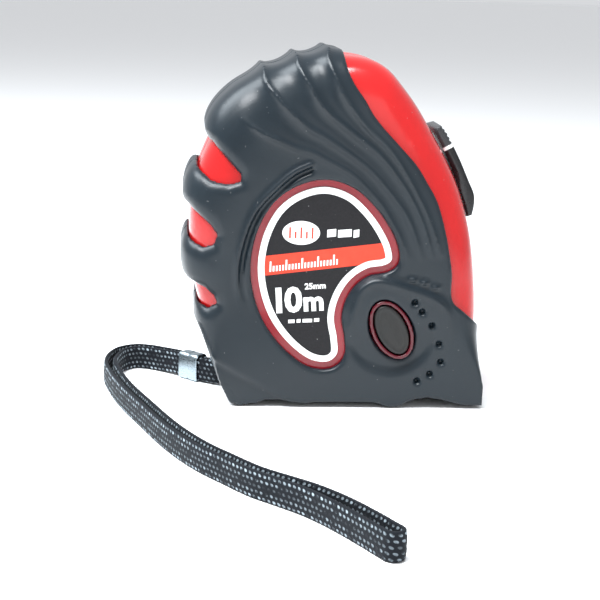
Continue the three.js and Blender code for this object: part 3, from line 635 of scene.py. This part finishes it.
# ---- Rubber jacket halves ----
# Soft slate-grey rubber moulded over each case half, about 2 mm thick and satin from the mould.
# Four crests sweep over the top and down the side; slots at the back are for the fingers.
GRIP_HALF = 21.2
GRIP_LINE = [
    (-24.2, 0), (-26.2, 0.9), (-27.1, 2.6), (-28.5, 5.2), (-30.2, 9.5), (-31.9, 14), (-33.9, 18.8),
    (-35.3, 22), (-35.3, 24.4), (-35.6, 26.6), (-36.4, 28.5), (-37.6, 31), (-38.8, 36), (-38.8, 39.5),
    (-37.9, 42.5), (-37.4, 45.8), (-38.2, 49.4), (-38.6, 52.8), (-37.8, 57), (-36, 60.6), (-34.5, 63.2),
    (-33.4, 66), (-33.3, 69), (-32.6, 72), (-30.7, 75.4), (-27.4, 78.9), (-24, 81.4), (-20.6, 83.4),
    (-16.5, 85.4), (-12, 87.2), (-7, 88.7), (-2.8, 89.5), (0.6, 89.7), (3.4, 89.5), (8.5, 88.6), (13.3, 86.5),
    (17.8, 82.4), (22, 77), (26, 70.7), (29.7, 64), (32.9, 57.1), (35.2, 50.6), (37.1, 43.4),
    (38.5, 34.3), (38.9, 26), (38.3, 19), (38.6, 13), (39.2, 6), (39.4, 0.5)]
BASE_LINE = [
    (38, 0.5), (34, 0.8), (31, 1.4), (28, 2.2), (25, 2.6), (22, 2.3), (20, 1.6), (18.4, 0.7), (17, 0.15),
    (15.5, 0), (14, 0.2), (12.6, 0.8), (11, 1.2), (6, 1.3), (0, 1.3), (-7, 0.9), (-12, 1.3), (-17, 1),
    (-19.6, 0.2), (-20.6, 0)]
FRONT_LINE = [(1.0, 98), (0.6, 89.5), (1.3, 85.3), (2.9, 81.8), (5.7, 77.9), (7.7, 74.6), (10.1, 71.7),
              (12.7, 69), (15.5, 66.1), (19.1, 62.3), (21.9, 58.1), (24.7, 53.4), (27.4, 45), (28.4, 40.6),
              (29.4, 35.2), (29.9, 28.2), (33, 25.4), (36, 22.8), (42, 17.4)]
FINGER_SLOTS = [
    [(-33.6, 67.2), (-31.3, 66.4), (-29, 63.9), (-26.6, 61.2), (-24.6, 59), (-24.6, 57.6), (-27.4, 56.8),
     (-31.3, 57.5), (-34, 59.6), (-36, 62.0), (-45, 64.4), (-45, 67.6)],
    [(-37, 50.4), (-34.1, 48.3), (-31.9, 46.4), (-30.1, 44), (-30.8, 41.8), (-33.1, 41), (-35.6, 42.2),
     (-37.4, 44.6), (-45, 45.6), (-45, 50.6)],
    [(-35.3, 31.0), (-32.6, 30.2), (-30.5, 28.3), (-29.8, 26.7), (-31.7, 25.6), (-33.8, 26.2), (-35.5, 27),
     (-45, 27.4), (-45, 31)]]
CRESTS = [
    [(-30.5, 76.2), (-27.7, 74), (-25.3, 73.2), (-22.2, 71.1), (-18.5, 69.1), (-14.6, 67.5), (-10.6, 65.9),
     (-7.4, 65.2), (-1.7, 62.4), (3.1, 59.8), (8.1, 55.2), (10.7, 52.3), (13.1, 48.6), (15.8, 43.9),
     (17.5, 39.5)],
    [(-18.7, 90), (-18.8, 86.4), (-19, 83.5), (-18.2, 80.9), (-16.2, 78.6), (-14.3, 76.4), (-11.3, 73.6),
     (-8.1, 71), (-3.9, 68.7), (1.9, 65), (7.8, 60.7), (12.8, 55.3), (17.1, 49.7), (19.6, 44), (21, 39.5)],
    [(-10.8, 94), (-10.8, 89.7), (-10.8, 86.4), (-9.3, 83.1), (-7.3, 80.1), (-5.6, 77.3), (-2.8, 74.3),
     (0.4, 71.8), (4.2, 68.9), (9.6, 64.9), (14.8, 58.9), (18.9, 52.7), (21.8, 46.6), (23.8, 40)],
    [(-3, 96), (-3, 90.9), (-3.5, 87.9), (-2.7, 85.2), (-1, 81.7), (0.2, 79.2), (5.6, 72.1), (12, 66.2),
     (17.3, 58.9), (21.5, 51.5), (24, 46), (26, 40)]]
ARC_LINE = [(-7.1, 61.8), (-11.1, 59.8), (-15.7, 55.7), (-20.4, 50.2), (-23.2, 43.1), (-24.5, 35.5),
            (-23.9, 29.2), (-22, 23.3)]
BROW_LINE = [
    (3.2, 25), (4.2, 28.6), (5.1, 31.4), (7.5, 33.8), (10.5, 34.6), (14.8, 33.9), (18.7, 32.7), (22.6, 31.5),
    (26.5, 29.7), (30, 26.5), (31, 20), (29.5, 12), (24, 7), (15, 6), (8, 9), (4, 15), (3, 20)]
DIMPLES = [(20.1, 28.1), (22.1, 25.7), (24.8, 22.1), (26.9, 17.2), (27.7, 12.4), (25, 9.2), (21.8, 7.3)]

# how far each place is from each crest, positive on the crest's front side, and the hollows between them
crest_gap = [distance_to(curve_through(crest, 5), GRID_X, GRID_Z, closed=False) for crest in CRESTS]
in_front = [distance_to(np.vstack([curve_through(crest, 4), [(60, 30), (60, 110), (0, 110)]]),
                            GRID_X, GRID_Z) < 0 for crest in CRESTS]
signed = [np.where(before, gap, -gap) for gap, before in zip(crest_gap, in_front)]
flute = np.zeros(GRID_X.shape)
for behind, ahead in zip(signed[:-1], signed[1:]):
    between = (behind >= 0) & (ahead < 0)
    flute = np.where(between, (2 * behind / np.maximum(behind - ahead, 1e-6) - 1) ** 2, flute)
flute = np.where(signed[0] < 0, np.exp(signed[0] / 2.6), flute)
flute = np.where(signed[-1] >= 0, np.exp(-signed[-1] / 2.6), flute)
line = np.exp(-(np.min(crest_gap, axis=0) / 0.48) ** 2)
near_top = ease(GRID_Z, 56, 84)
rear_fade = np.where(signed[1] < 0, 1 - ease(-GRID_X, 19, 26), 1.0)
lift = ((flute - 0.3) * (0.16 + 0.95 * near_top) + 0.42 * line * (1 - 0.35 * near_top)) * rear_fade
lift = lift * ease(GRID_Z, 36, 46)

# the boss round the button: raised above a brow, dished round the button, with three short nubs on the brow
across_brow = distance_to(curve_through(BROW_LINE, 4, closed=True), GRID_X, GRID_Z)
brow_share = ease(GRID_Z, 16, 25) * ease(-GRID_X, -29.5, -26)
boss = 1.15 * ease(-across_brow, -0.15, 1.9) * ease(GRID_Z, 12, 27) * ease(-GRID_X, -33, -26)
boss = boss + 0.75 * np.exp(-((across_brow + 1.1) / 1.0) ** 2) * brow_share
dish = -0.9 * (1 - ease(from_spot(*BUTTON_AT), 9.8, 12.6)) * ease(-GRID_Z, -24, -16)
nubs = sum(np.exp(-(((GRID_X - x) / 1.1) ** 2 + ((GRID_Z - z) / 0.55) ** 2) ** 2)
           for x, z in ((19.4, 33.7), (22.4, 33.0), (25.2, 31.9)))
pits = sum(np.exp(-(from_spot(x, z) / 0.8) ** 4) for x, z in DIMPLES)

# a bead with a trench beside it runs round the rear of the label, and a step sets off the rear foot
arc = curve_through(ARC_LINE, 8)
from_arc = distance_to(arc, GRID_X, GRID_Z, closed=False)
inside_arc = distance_to(np.vstack([arc, [(0, 23), (0, 62)]]), GRID_X, GRID_Z) < 0
label_side = np.where(inside_arc, -from_arc, from_arc)
on_arc = (from_arc < 4) * ease(GRID_Z, 22, 40) * ease(-GRID_X, 6.2, 7.2)
bead = 0.75 * np.exp(-((label_side - 0.35) / 0.65) ** 2) * on_arc
trench = -0.9 * np.exp(-((label_side + 0.95) / 0.7) ** 4) * on_arc
foot_line = distance_to([(-40, 18.4), (-27.9, 11.5), (-23.3, 8.9), (-19.5, 6.9), (-15.6, 4.3), (-11.7, 2.2),
                         (-9, 0.5), (-9, -5), (-40, -5)], GRID_X, GRID_Z)
foot = -0.65 * ease(-foot_line, 0.0, 1.0)
both_sides = lift + bead + trench + foot
near_side = both_sides + boss + dish + 0.8 * nubs - 1.5 * pits

grip_outline = np.vstack([curve_through(GRIP_LINE, 3), BASE_LINE])
grip_plain = shell_field(grip_outline, GRIP_HALF)
case_room = np.maximum(shell_field(case_outline, CASE_HALF, grow=0.2), -across_y(arch + 0.2))
label_hole = distance_to(curve_through(LABEL_LINE, 5, closed=True), GRID_X, GRID_Z) - 1.8
below_line = np.vstack([[(60, 0), (39.4, 0.3)], BASE_LINE, [(-24.2, 0), (-60, 0), (-60, -6), (60, -6)]])
below_base = distance_to(below_line, GRID_X, GRID_Z)
front_hole = distance_to(np.vstack([curve_through(FRONT_LINE, 4), [(60, 17.4), (60, 98)]]), GRID_X, GRID_Z)
slot_holes = [distance_to(np.asarray(s, float), GRID_X, GRID_Z) for s in FINGER_SLOTS]
rim_share = ease(np.abs(Y_LINE), 14, 19)[None, :, None]


def jacket(height, holes):
    """Jacket half with its relief, cut by the (hole, fillet) pairs and to make room for the case."""
    body = grip_plain - across_y(lift) - across_y(height - lift) * rim_share
    body = meet(body, -across_y(below_base), 0.5)
    for hole, fillet in holes:
        body = meet(body, -across_y(hole), fillet)
    body = meet(body, -case_room, 0.35)
    body = meet(body, -across_y(front_hole), 0.5)
    body = meet(body, -box_field(35.5, 50, -14.4, 14.4, -5, 24), 0.5)
    body = meet(body, -box_field(-50, -21.6, -3.5, 3.5, 0.6, 9.2), 0.5)
    return meet(body, seam_cut, 0.35)


rubber = finish("slate_rubber", (0.0040, 0.0080, 0.0120), (0.0095, 0.0165, 0.0225), 0.27, 0.38, patch=45.0,
                depth=0.25, dust=0.22, specular=0.36)[0]
both_holes = [(label_hole, 1.1)] + [(hole, 3.0) for hole in slot_holes]
button_hole = (distance_to(oval_line(1.5), GRID_X, GRID_Z), 1.0)
screw_holes = [(from_spot(x, z) - 3.1, 0.6) for x, z in SCREW_PLACES]
jacket_right_body = jacket(near_side, both_holes + [button_hole])
jacket_left_body = jacket(both_sides, both_holes + screw_holes)
shell_object("jacket_right", jacket_right_body, False, rubber, "grip_right")
shell_object("jacket_left", jacket_left_body, True, rubber, "grip_left")


# ---- Side labels ----
# Printed film 0.4 mm thick, stuck on the flat of each case half inside the jacket's opening.
# White border, black field with a fine fleck, an orange-red band with a ruler scale, and the tape's size.
LABEL_FACE, BORDER, PRINT_TILT = 19.72, 1.65, 0.07
BAND = [(-24, 33.1), (16, 38.3), (16, 43.3), (-24, 38.1)]


def area_of(line):
    """Twice a closed outline's area, positive where it runs anticlockwise."""
    return np.sum(line[:, 0] * np.roll(line[:, 1], -1) - np.roll(line[:, 0], -1) * line[:, 1])


def inset(line, depth):
    """Outline moved inwards; points that would cross over at tight corners are dropped."""
    along = np.roll(line, -1, axis=0) - np.roll(line, 1, axis=0)
    along /= np.linalg.norm(along, axis=1)[:, None]
    moved = line + np.sign(area_of(line)) * depth * np.stack([-along[:, 1], along[:, 0]], axis=1)
    return moved[distance_to(line, moved[:, 0], moved[:, 1]) < -depth + 0.06]


def clipped(line, a, b):
    """Part of a polygon on the left of the line from a to b."""
    a, b, out = np.array(a, float), np.array(b, float), []
    side = (b[0] - a[0]) * (line[:, 1] - a[1]) - (b[1] - a[1]) * (line[:, 0] - a[0])
    for i in range(len(line)):
        j = (i + 1) % len(line)
        if side[i] >= 0:
            out.append(line[i])
        if (side[i] >= 0) != (side[j] >= 0):
            out.append(line[i] + (line[j] - line[i]) * side[i] / (side[i] - side[j]))
    return np.array(out)


def printed(name, outlines, back, front, material, *nodes, mirrored=False):
    """Flat sheets of (x, z) outlines between two depths on a case half's side."""
    points, faces = [], []
    for outline in outlines:
        line = np.asarray(outline) if area_of(np.asarray(outline)) > 0 else np.asarray(outline)[::-1]
        faces += [tuple(len(points) + i for i in face) for face in tube_faces(2, len(line))]
        points += [(x, -depth, z) for depth in (back, front) for x, z in line]
    if mirrored:
        points, faces = np.array(points) * (1, -1, 1), turned_over(faces)
    return make_object(name, points, faces, "case", material, "print", *nodes, smooth=False)


white_ink = finish("white_ink", (0.82, 0.82, 0.80), (0.90, 0.90, 0.88), 0.3, 0.42, patch=160.0,
                   specular=0.3)[0]
black_ink = finish("black_ink", (0.003, 0.003, 0.004), (0.016, 0.015, 0.017), 0.34, 0.46, patch=1900.0,
                   dust=0.6, specular=0.22)[0]
band_ink = finish("orange_red_ink", (0.60, 0.038, 0.018), (0.74, 0.07, 0.035), 0.34, 0.44, patch=400.0,
                  specular=0.25)[0]
label_outline = curve_through(LABEL_LINE, 6, closed=True)
label_field = inset(evenly(np.vstack([label_outline, label_outline[:1]]), 0.4)[:-1], BORDER)
label_band = clipped(clipped(label_field, BAND[0], BAND[1]), BAND[2], BAND[3])
for label in ("label_right", "label_left"):
    far = label == "label_left"
    printed(label + "_border", [label_outline], 19.3, LABEL_FACE, white_ink, label, mirrored=far)
    printed(label + "_field", [label_field], LABEL_FACE - 0.05, LABEL_FACE + 0.04, black_ink, mirrored=far)
    printed(label + "_band", [label_band], LABEL_FACE, LABEL_FACE + 0.07, band_ink, mirrored=far)


def lettering(name, words, size, x, z, weight, spacing=1.0):
    """Raised print of a few numerals on the near label."""
    curve = bpy.data.curves.new(name, "FONT")
    curve.body, curve.size, curve.space_character = words, size, spacing
    curve.extrude, curve.offset, curve.resolution_u = 0.03, weight, 3
    holder = bpy.data.objects.new(name, curve)
    scene.collection.objects.link(holder)
    mesh = bpy.data.meshes.new_from_object(holder.evaluated_get(bpy.context.evaluated_depsgraph_get()))
    points = np.array([v.co[:] for v in mesh.vertices])
    faces = [tuple(p.vertices) for p in mesh.polygons]
    bpy.data.objects.remove(holder)
    c, s = math.cos(PRINT_TILT), math.sin(PRINT_TILT)
    flat = np.column_stack([x + c * points[:, 0] - s * points[:, 1], -(LABEL_FACE + 0.06) - points[:, 2],
                            z + s * points[:, 0] + c * points[:, 1]])
    make_object(name, flat, faces, "case", white_ink, "print", smooth=False)


def bar(x, z, wide, tall, rise=0.0):
    """Outline of an upright bar whose lower and upper ends climb by rise."""
    return [(x, z), (x + wide, z + rise), (x + wide, z + rise + tall), (x, z + tall)]


lettering("print_length", "10", 8.7, -16.0, 24.5, 0.32, spacing=0.84)
lettering("print_metres", "m", 6.9, -7.8, 25.1, 0.27)
lettering("print_width", "25mm", 2.1, -7.6, 30.6, 0.07)

# a ruler scale along the band, an oval mark with a little scale in it, and short rules above and below
marks = []
for i in range(22):
    along_band = i / 21
    x, z = -16.6 + 16.6 * along_band, 34.9 + 2.12 * along_band
    tall = 2.6 if i % 5 == 0 else 1.4
    marks.append(bar(x, z, 0.42, tall, 0.05))
marks += [bar(x, 43.9, wide, 1.9, 0.3) for x, wide in ((-2.5, 2.2), (0.2, 3.4), (4.1, 1.4))]
x = -11.5
for wide in (1.6, 1.0, 2.4, 1.3):
    marks.append(bar(x, 21.8 + PRINT_TILT * (x + 11), wide, 0.9, 0.1))
    x += wide + 0.5
turn = np.arange(40) / 40 * 2 * math.pi
oval_mark = np.column_stack([-9.0 + 4.7 * np.cos(turn), 44.9 + 3.0 * np.sin(turn)])
ticks = [bar(-12.0 + 1.4 * i, 43.5, 0.45, 1.7 if i % 2 else 2.8) for i in range(5)]
printed("print_marks", marks, LABEL_FACE + 0.03, LABEL_FACE + 0.11, white_ink)
printed("print_oval", [oval_mark], LABEL_FACE + 0.03, LABEL_FACE + 0.09, white_ink)
printed("print_oval_scale", ticks, LABEL_FACE + 0.06, LABEL_FACE + 0.12, band_ink)


# ---- Side button ----
# An oval black button in its red collar; a stem behind it carries the brake pad and the return spring.
button_black = finish("button_black", (0.007, 0.010, 0.011), (0.024, 0.021, 0.019), 0.34, 0.5, patch=150.0,
                      grain=3000.0, specular=0.3)[0]
CAP_POINTS = 56
cap_steps = [(-3.7, -22.1), (-3.0, -22.08), (-2.0, -22.02), (-1.3, -22.0), (-0.9, -22.08), (-0.6, -22.14),
             (-0.3, -22.05), (-0.08, -21.8), (0.0, -21.4), (0.0, -21.1), (-2.2, -21.1), (-2.2, -16.5)]
rings = []
for grow, y in cap_steps:
    ring = oval_line(grow, CAP_POINTS)
    rings.append(np.column_stack([ring[:, 0], np.full(CAP_POINTS, y), ring[:, 1]]))
cap_faces = turned_over(tube_faces(len(rings), CAP_POINTS))
make_object("button_cap", np.vstack(rings), cap_faces, "button", button_black, "black_plastic", "side_button")


# ---- Thumb lock ----
# A moulded slider on the front slope, ribbed at its upper end, with a white mark across it.
# It slides down the case's curve and its arm presses a shoe on the tape.
RIB_PITCH, MARK_DOWN = 1.25, 5.6  # down the knob's face from its upper end
knob_inner = [(LOCK_CENTRE[0] + math.sqrt((LOCK_RADIUS + 0.45) ** 2 - (z - LOCK_CENTRE[1]) ** 2), z)
              for z in np.linspace(47.7, 70.2, 14)]
knob_outer = [(27.2, 70.9), (28.7, 69.2), (30.4, 66.2), (32.6, 62.2), (35.3, 56.6), (36.4, 54.4),
              (36.9, 52.8), (36.9, 50.2), (36.5, 48)]
knob_side = evenly(curve_through(knob_outer, 10), 0.3)
down = np.concatenate([[0], np.cumsum(np.linalg.norm(np.diff(knob_side, axis=0), axis=1))])
outward = np.gradient(knob_side, axis=0)
outward = np.stack([-outward[:, 1], outward[:, 0]], axis=1) / np.linalg.norm(outward, axis=1)[:, None]
ribs = -0.32 * (0.5 - 0.5 * np.cos(down * 2 * math.pi / RIB_PITCH)) * (down < 4.9) * (down > 0.4)
ribs = ribs - 0.22 * np.exp(-((down - MARK_DOWN) / 0.28) ** 4)
knob_side = knob_side + outward * ribs[:, None]
outline = np.vstack([knob_inner, knob_side])
rings = []
for y, pinch in [(-7.0, 0.75), (-6.85, 0.35), (-6.5, 0.1), (-6.0, 0.0), (-3, 0.0), (0, -0.02), (3, 0.0),
                 (6.0, 0.0), (6.5, 0.1), (6.85, 0.35), (7.0, 0.75)]:
    ring = outline.copy()
    ring[len(knob_inner):] -= outward * pinch
    rings.append(np.column_stack([ring[:, 0], np.full(len(ring), y), ring[:, 1]]))
faces = tube_faces(len(rings), len(outline))
if area_of(outline) > 0:
    faces = turned_over(faces)
knob_black, tree, shader, tone, where = finish(
    "lock_black", (0.004, 0.004, 0.005), (0.010, 0.010, 0.011), 0.22, 0.36, patch=200.0, grain=2600.0,
    specular=0.4)
# a white line across the knob at its groove, and a greyer tone on the ribbed end above it
mark_at = knob_side[np.argmin(np.abs(down - MARK_DOWN))]
slope = np.array([0.48, -0.88])
reach = add_node(tree, "ShaderNodeVectorMath", {"operation": "DOT_PRODUCT"}, in0=where,
                 in1=(slope[0], 0, slope[1])).outputs["Value"]
mark_reach = float(np.dot(place([[mark_at[0], 0, mark_at[1]]])[0][[0, 2]], slope))
past_mark = maths(tree, "SUBTRACT", reach, mark_reach)
on_mark = ramp(tree, maths(tree, "ABSOLUTE", past_mark), 0.0005, 0.0004)
knob_tone = blend_colour(tree, ramp(tree, past_mark, 0.0002, -0.0004), tone, (0.030, 0.031, 0.034))
tree.links.new(blend_colour(tree, on_mark, knob_tone, (0.85, 0.85, 0.85)), shader.inputs["Base Color"])
make_object("lock_slider", np.vstack(rings), faces, "lock", knob_black, "black_plastic", "lock_knob")


# ---- Rivets and screws ----
# Nickel-plated: three domed rivets hold the hook to the tape, four cross-recess screws close the case from
# the far side, and a larger one holds the belt clip. Each kind is one head, set at its places by a node tree.
nickel = finish("nickel_plate", (0.42, 0.43, 0.44), (0.68, 0.68, 0.67), 0.2, 0.36, patch=300.0, grain=1800.0,
                depth=0.15, dust=0.2, metallic=1.0)[0]
RECESSED_RINGS = 9  # rings of a head's profile, from the middle, that the cross can reach


def turned_head(profile, recess, around=28):
    """Mesh turned about Y from (radius, y) points, outermost face first, with a cross pressed into it."""
    points = []
    for k, (radius, y) in enumerate(profile):
        for j in range(around):
            a = j / around * 2 * math.pi
            x, z = radius * math.cos(a), radius * math.sin(a)
            arm = min(abs(x), abs(z))
            pressed = recess * ease(arm, 0.52, 0.26) * ease(radius, 1.75, 1.35) if k < RECESSED_RINGS else 0.0
            points.append((x, y - pressed, z))
    mesh = bpy.data.meshes.new("turned_head")
    mesh.from_pydata((np.array(points) * 0.001).tolist(), [], tube_faces(len(profile), around))
    return mesh


fastener_tree = bpy.data.node_groups.new("set_fasteners", "GeometryNodeTree")
for socket_name, kind in (("Places", "NodeSocketGeometry"), ("Head", "NodeSocketObject"),
                          ("Turn Step", "NodeSocketFloat"), ("Finish", "NodeSocketMaterial")):
    fastener_tree.interface.new_socket(socket_name, in_out="INPUT", socket_type=kind)
fastener_tree.interface.new_socket("Fasteners", in_out="OUTPUT", socket_type="NodeSocketGeometry")
given = fastener_tree.nodes.new("NodeGroupInput").outputs
head = add_node(fastener_tree, "GeometryNodeObjectInfo", None, Object=given["Head"]).outputs["Geometry"]
index = add_node(fastener_tree, "GeometryNodeInputIndex").outputs[0]
turning = add_node(fastener_tree, "ShaderNodeCombineXYZ", None,
                   Y=maths(fastener_tree, "MULTIPLY", index, given["Turn Step"])).outputs[0]
placed = add_node(fastener_tree, "GeometryNodeInstanceOnPoints", None, Points=given["Places"], Instance=head)
fastener_tree.links.new(turning, placed.inputs["Rotation"])
real = add_node(fastener_tree, "GeometryNodeRealizeInstances", None, Geometry=placed.outputs[0]).outputs[0]
smooth = add_node(fastener_tree, "GeometryNodeSetShadeSmooth", None, in0=real).outputs[0]
finished = add_node(fastener_tree, "GeometryNodeSetMaterial", None, Geometry=smooth, Material=given["Finish"])
fastener_tree.links.new(finished.outputs[0], fastener_tree.nodes.new("NodeGroupOutput").inputs[0])


def set_fasteners(name, head_mesh, places, body, nodes, turn_step=0.0, tilt=0.0):
    """Fasteners of one kind on one body. tilt turns them about X from the Y axis they are made on."""
    head_object = bpy.data.objects.new(name + "_head", head_mesh)
    spots = bpy.data.meshes.new(name + "_spots")
    spots.from_pydata([Matrix.Rotation(-tilt, 4, "X") @ Vector(p) for p in places], [], [])
    holder = bpy.data.objects.new(name + "_spots", spots)
    scene.collection.objects.link(head_object)
    scene.collection.objects.link(holder)
    setter = holder.modifiers.new("set_fasteners", "NODES")
    setter.node_group = fastener_tree
    ids = {item.name: item.identifier for item in fastener_tree.interface.items_tree}
    for label, value in (("Head", head_object), ("Turn Step", turn_step), ("Finish", nickel)):
        setter[ids[label]] = value
    mesh = bpy.data.meshes.new_from_object(holder.evaluated_get(bpy.context.evaluated_depsgraph_get()))
    mesh.transform(Matrix.Rotation(tilt, 4, "X"))
    bpy.data.objects.remove(holder)
    bpy.data.objects.remove(head_object)
    add_piece(name, mesh, body, nodes)


def top_of(node, axis):
    """Middle of a node's box, on its outermost face along an axis."""
    low, high = (np.array(c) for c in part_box(node))
    middle = (low + high) / 2
    middle[axis] = high[axis]
    return middle


screw_profile = [
    (0.02, 0.0), (0.25, -0.01), (0.5, -0.02), (0.8, -0.04), (1.1, -0.08), (1.4, -0.14), (1.7, -0.24),
    (1.95, -0.36), (2.2, -0.55), (2.35, -0.78), (2.4, -1.0), (2.38, -1.7), (1.2, -1.75), (1.2, -26),
    (0.9, -27.4), (0.05, -28.2)]
clip_profile = [(r * 1.1, y) for r, y in screw_profile[:12]] + [(1.1, -1.75), (1.1, -6.6), (0.05, -7.2)]
rivet_profile = [
    (0.02, 0.0), (0.4, -0.02), (0.8, -0.08), (1.15, -0.18), (1.45, -0.32), (1.68, -0.48), (1.8, -0.62),
    (1.78, -0.7), (1.0, -0.72), (1.0, -1.75), (1.75, -1.78), (1.8, -1.9), (1.4, -2.2), (0.05, -2.4)]
screw_names = [f"case_screw_{i}" for i in (1, 2, 3, 4)]
rivet_names = [f"hook_rivet_{i}" for i in (1, 2, 3)]
set_fasteners("case_screws", turned_head(screw_profile, 1.0), [top_of(n, 1) for n in screw_names], "case",
              screw_names, turn_step=0.7)
set_fasteners("belt_clip_screw", turned_head(clip_profile, 0.9), [top_of("clip_screw", 1)], "case",
              ["clip_screw"])
set_fasteners("hook_rivets", turned_head(rivet_profile, 0.0), [top_of(n, 2) for n in rivet_names], "hook",
              rivet_names, tilt=math.radians(90))


# ---- Hook, tape, mouth, clip and the pieces inside ----
# Pressed, turned and moulded pieces, each made from the piece's exact solid; most have their sharp edges
# broken, while the mainspring, the button's spring and the tape keep their solids and only get a finish.
# The hook and clip are brushed, the reel is grey plastic, the springs are blued, and the tape is lacquered
# yellow with black marks along both its edges.
SHARP_ANGLE, SMOOTH_ANGLE = math.radians(28), math.radians(35)


def refined(name, node, body, material, edge):
    """The node's solid as clean faces, with its edges rounded."""
    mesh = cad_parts[node].data.copy()
    shape = bmesh.new()
    shape.from_mesh(mesh)
    bmesh.ops.remove_doubles(shape, verts=shape.verts, dist=1e-6)
    bmesh.ops.dissolve_limit(shape, angle_limit=math.radians(1.0), verts=shape.verts, edges=shape.edges)
    sharp = [e for e in shape.edges if e.is_manifold and e.calc_face_angle(0) > SHARP_ANGLE]
    bmesh.ops.bevel(shape, geom=sharp, offset=edge * 0.001, offset_type="OFFSET", segments=3, profile=0.5,
                    affect="EDGES", clamp_overlap=True)
    bmesh.ops.triangulate(shape, faces=[f for f in shape.faces if len(f.verts) > 4])
    shape.to_mesh(mesh)
    shape.free()
    mesh.materials.clear()
    mesh.materials.append(material)
    mesh.shade_smooth()
    mesh.set_sharp_from_angle(angle=SMOOTH_ANGLE)
    add_piece(name, mesh, body, [node])


def coat(material, *nodes):
    """Gives a material to nodes that are shown as their solids are."""
    for node in nodes:
        for material_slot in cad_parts[node].material_slots:
            material_slot.material = material


brushed_nickel = finish("brushed_nickel", (0.40, 0.41, 0.42), (0.66, 0.66, 0.65), 0.22, 0.4, patch=1.0,
                        grain=1.0, depth=0.25, metallic=1.0, stretch=(5000, 260, 260))[0]
moulded_black = finish("moulded_black", (0.010, 0.010, 0.011), (0.026, 0.026, 0.028), 0.34, 0.5, patch=120.0,
                       specular=0.4)[0]
reel_grey = finish("reel_grey", (0.040, 0.043, 0.047), (0.075, 0.080, 0.086), 0.4, 0.55, patch=90.0)[0]
blued = finish("blued_spring", (0.10, 0.12, 0.16), (0.34, 0.35, 0.38), 0.24, 0.42, patch=220.0,
               metallic=1.0)[0]
felt = finish("pressed_felt", (0.07, 0.07, 0.065), (0.17, 0.17, 0.155), 0.85, 0.95, patch=1400.0,
              grain=3600.0, depth=0.9)[0]
refined("tape_end_hook", "end_hook", "hook", brushed_nickel, 0.12)
refined("clip_spring_steel", "belt_clip", "case", brushed_nickel, 0.3)
refined("strap_cross_pin", "strap_pin", "case", nickel, 0.15)
refined("reel_post", "center_post", "case", nickel, 0.15)
refined("mouth_bumper_pad", "mouth_bumper", "case", rubber, 0.25)
refined("mouth_wear_guide", "mouth_guide", "case", moulded_black, 0.2)
refined("lock_shoe_arm", "lock_arm", "lock", moulded_black, 0.15)
refined("tape_reel", "reel_drum", "reel", reel_grey, 0.1)
refined("reel_lid", "reel_cover", "reel", reel_grey, 0.1)
refined("lock_leaf_spring", "lock_detent_spring", "case", blued, 0.05)
refined("brake_felt", "button_brake_pad", "button", felt, 0.2)
coat(blued, "mainspring", "button_spring")

# the tape's marks: each millimetre, longer each five and longest each ten, measured from its end in mm
yellow, tree, shader, tone, where = finish("tape_yellow", (0.80, 0.46, 0.012), (0.90, 0.56, 0.02), 0.16, 0.28,
                                           patch=120.0, depth=0.08)
x_mm, y_mm = [maths(tree, "MULTIPLY", part, 1000.0)
              for part in add_node(tree, "ShaderNodeSeparateXYZ", None, Vector=where).outputs[:2]]
from_end = maths(tree, "SUBTRACT", 1000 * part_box("blade_lead")[1][0], x_mm)
from_middle = maths(tree, "ABSOLUTE", maths(tree, "ADD", y_mm, -SHELL_SHIFT[1]))
from_edge = maths(tree, "SUBTRACT", 12.5, from_middle)
marked = 0.0
for spacing, tall, thick in ((1.0, 3.2, 0.2), (5.0, 4.6, 0.24), (10.0, 7.0, 0.3)):
    step_at = maths(tree, "DIVIDE", maths(tree, "ADD", from_end, thick / 2), spacing)
    in_line = maths(tree, "LESS_THAN", maths(tree, "FRACT", step_at), thick / spacing)
    in_reach = maths(tree, "LESS_THAN", from_edge, tall)
    marked = maths(tree, "MAXIMUM", marked, maths(tree, "MULTIPLY", in_line, in_reach))
tree.links.new(blend_colour(tree, marked, tone, (0.008, 0.008, 0.008)), shader.inputs["Base Color"])
coat(yellow, "blade_coil", "blade_lead")
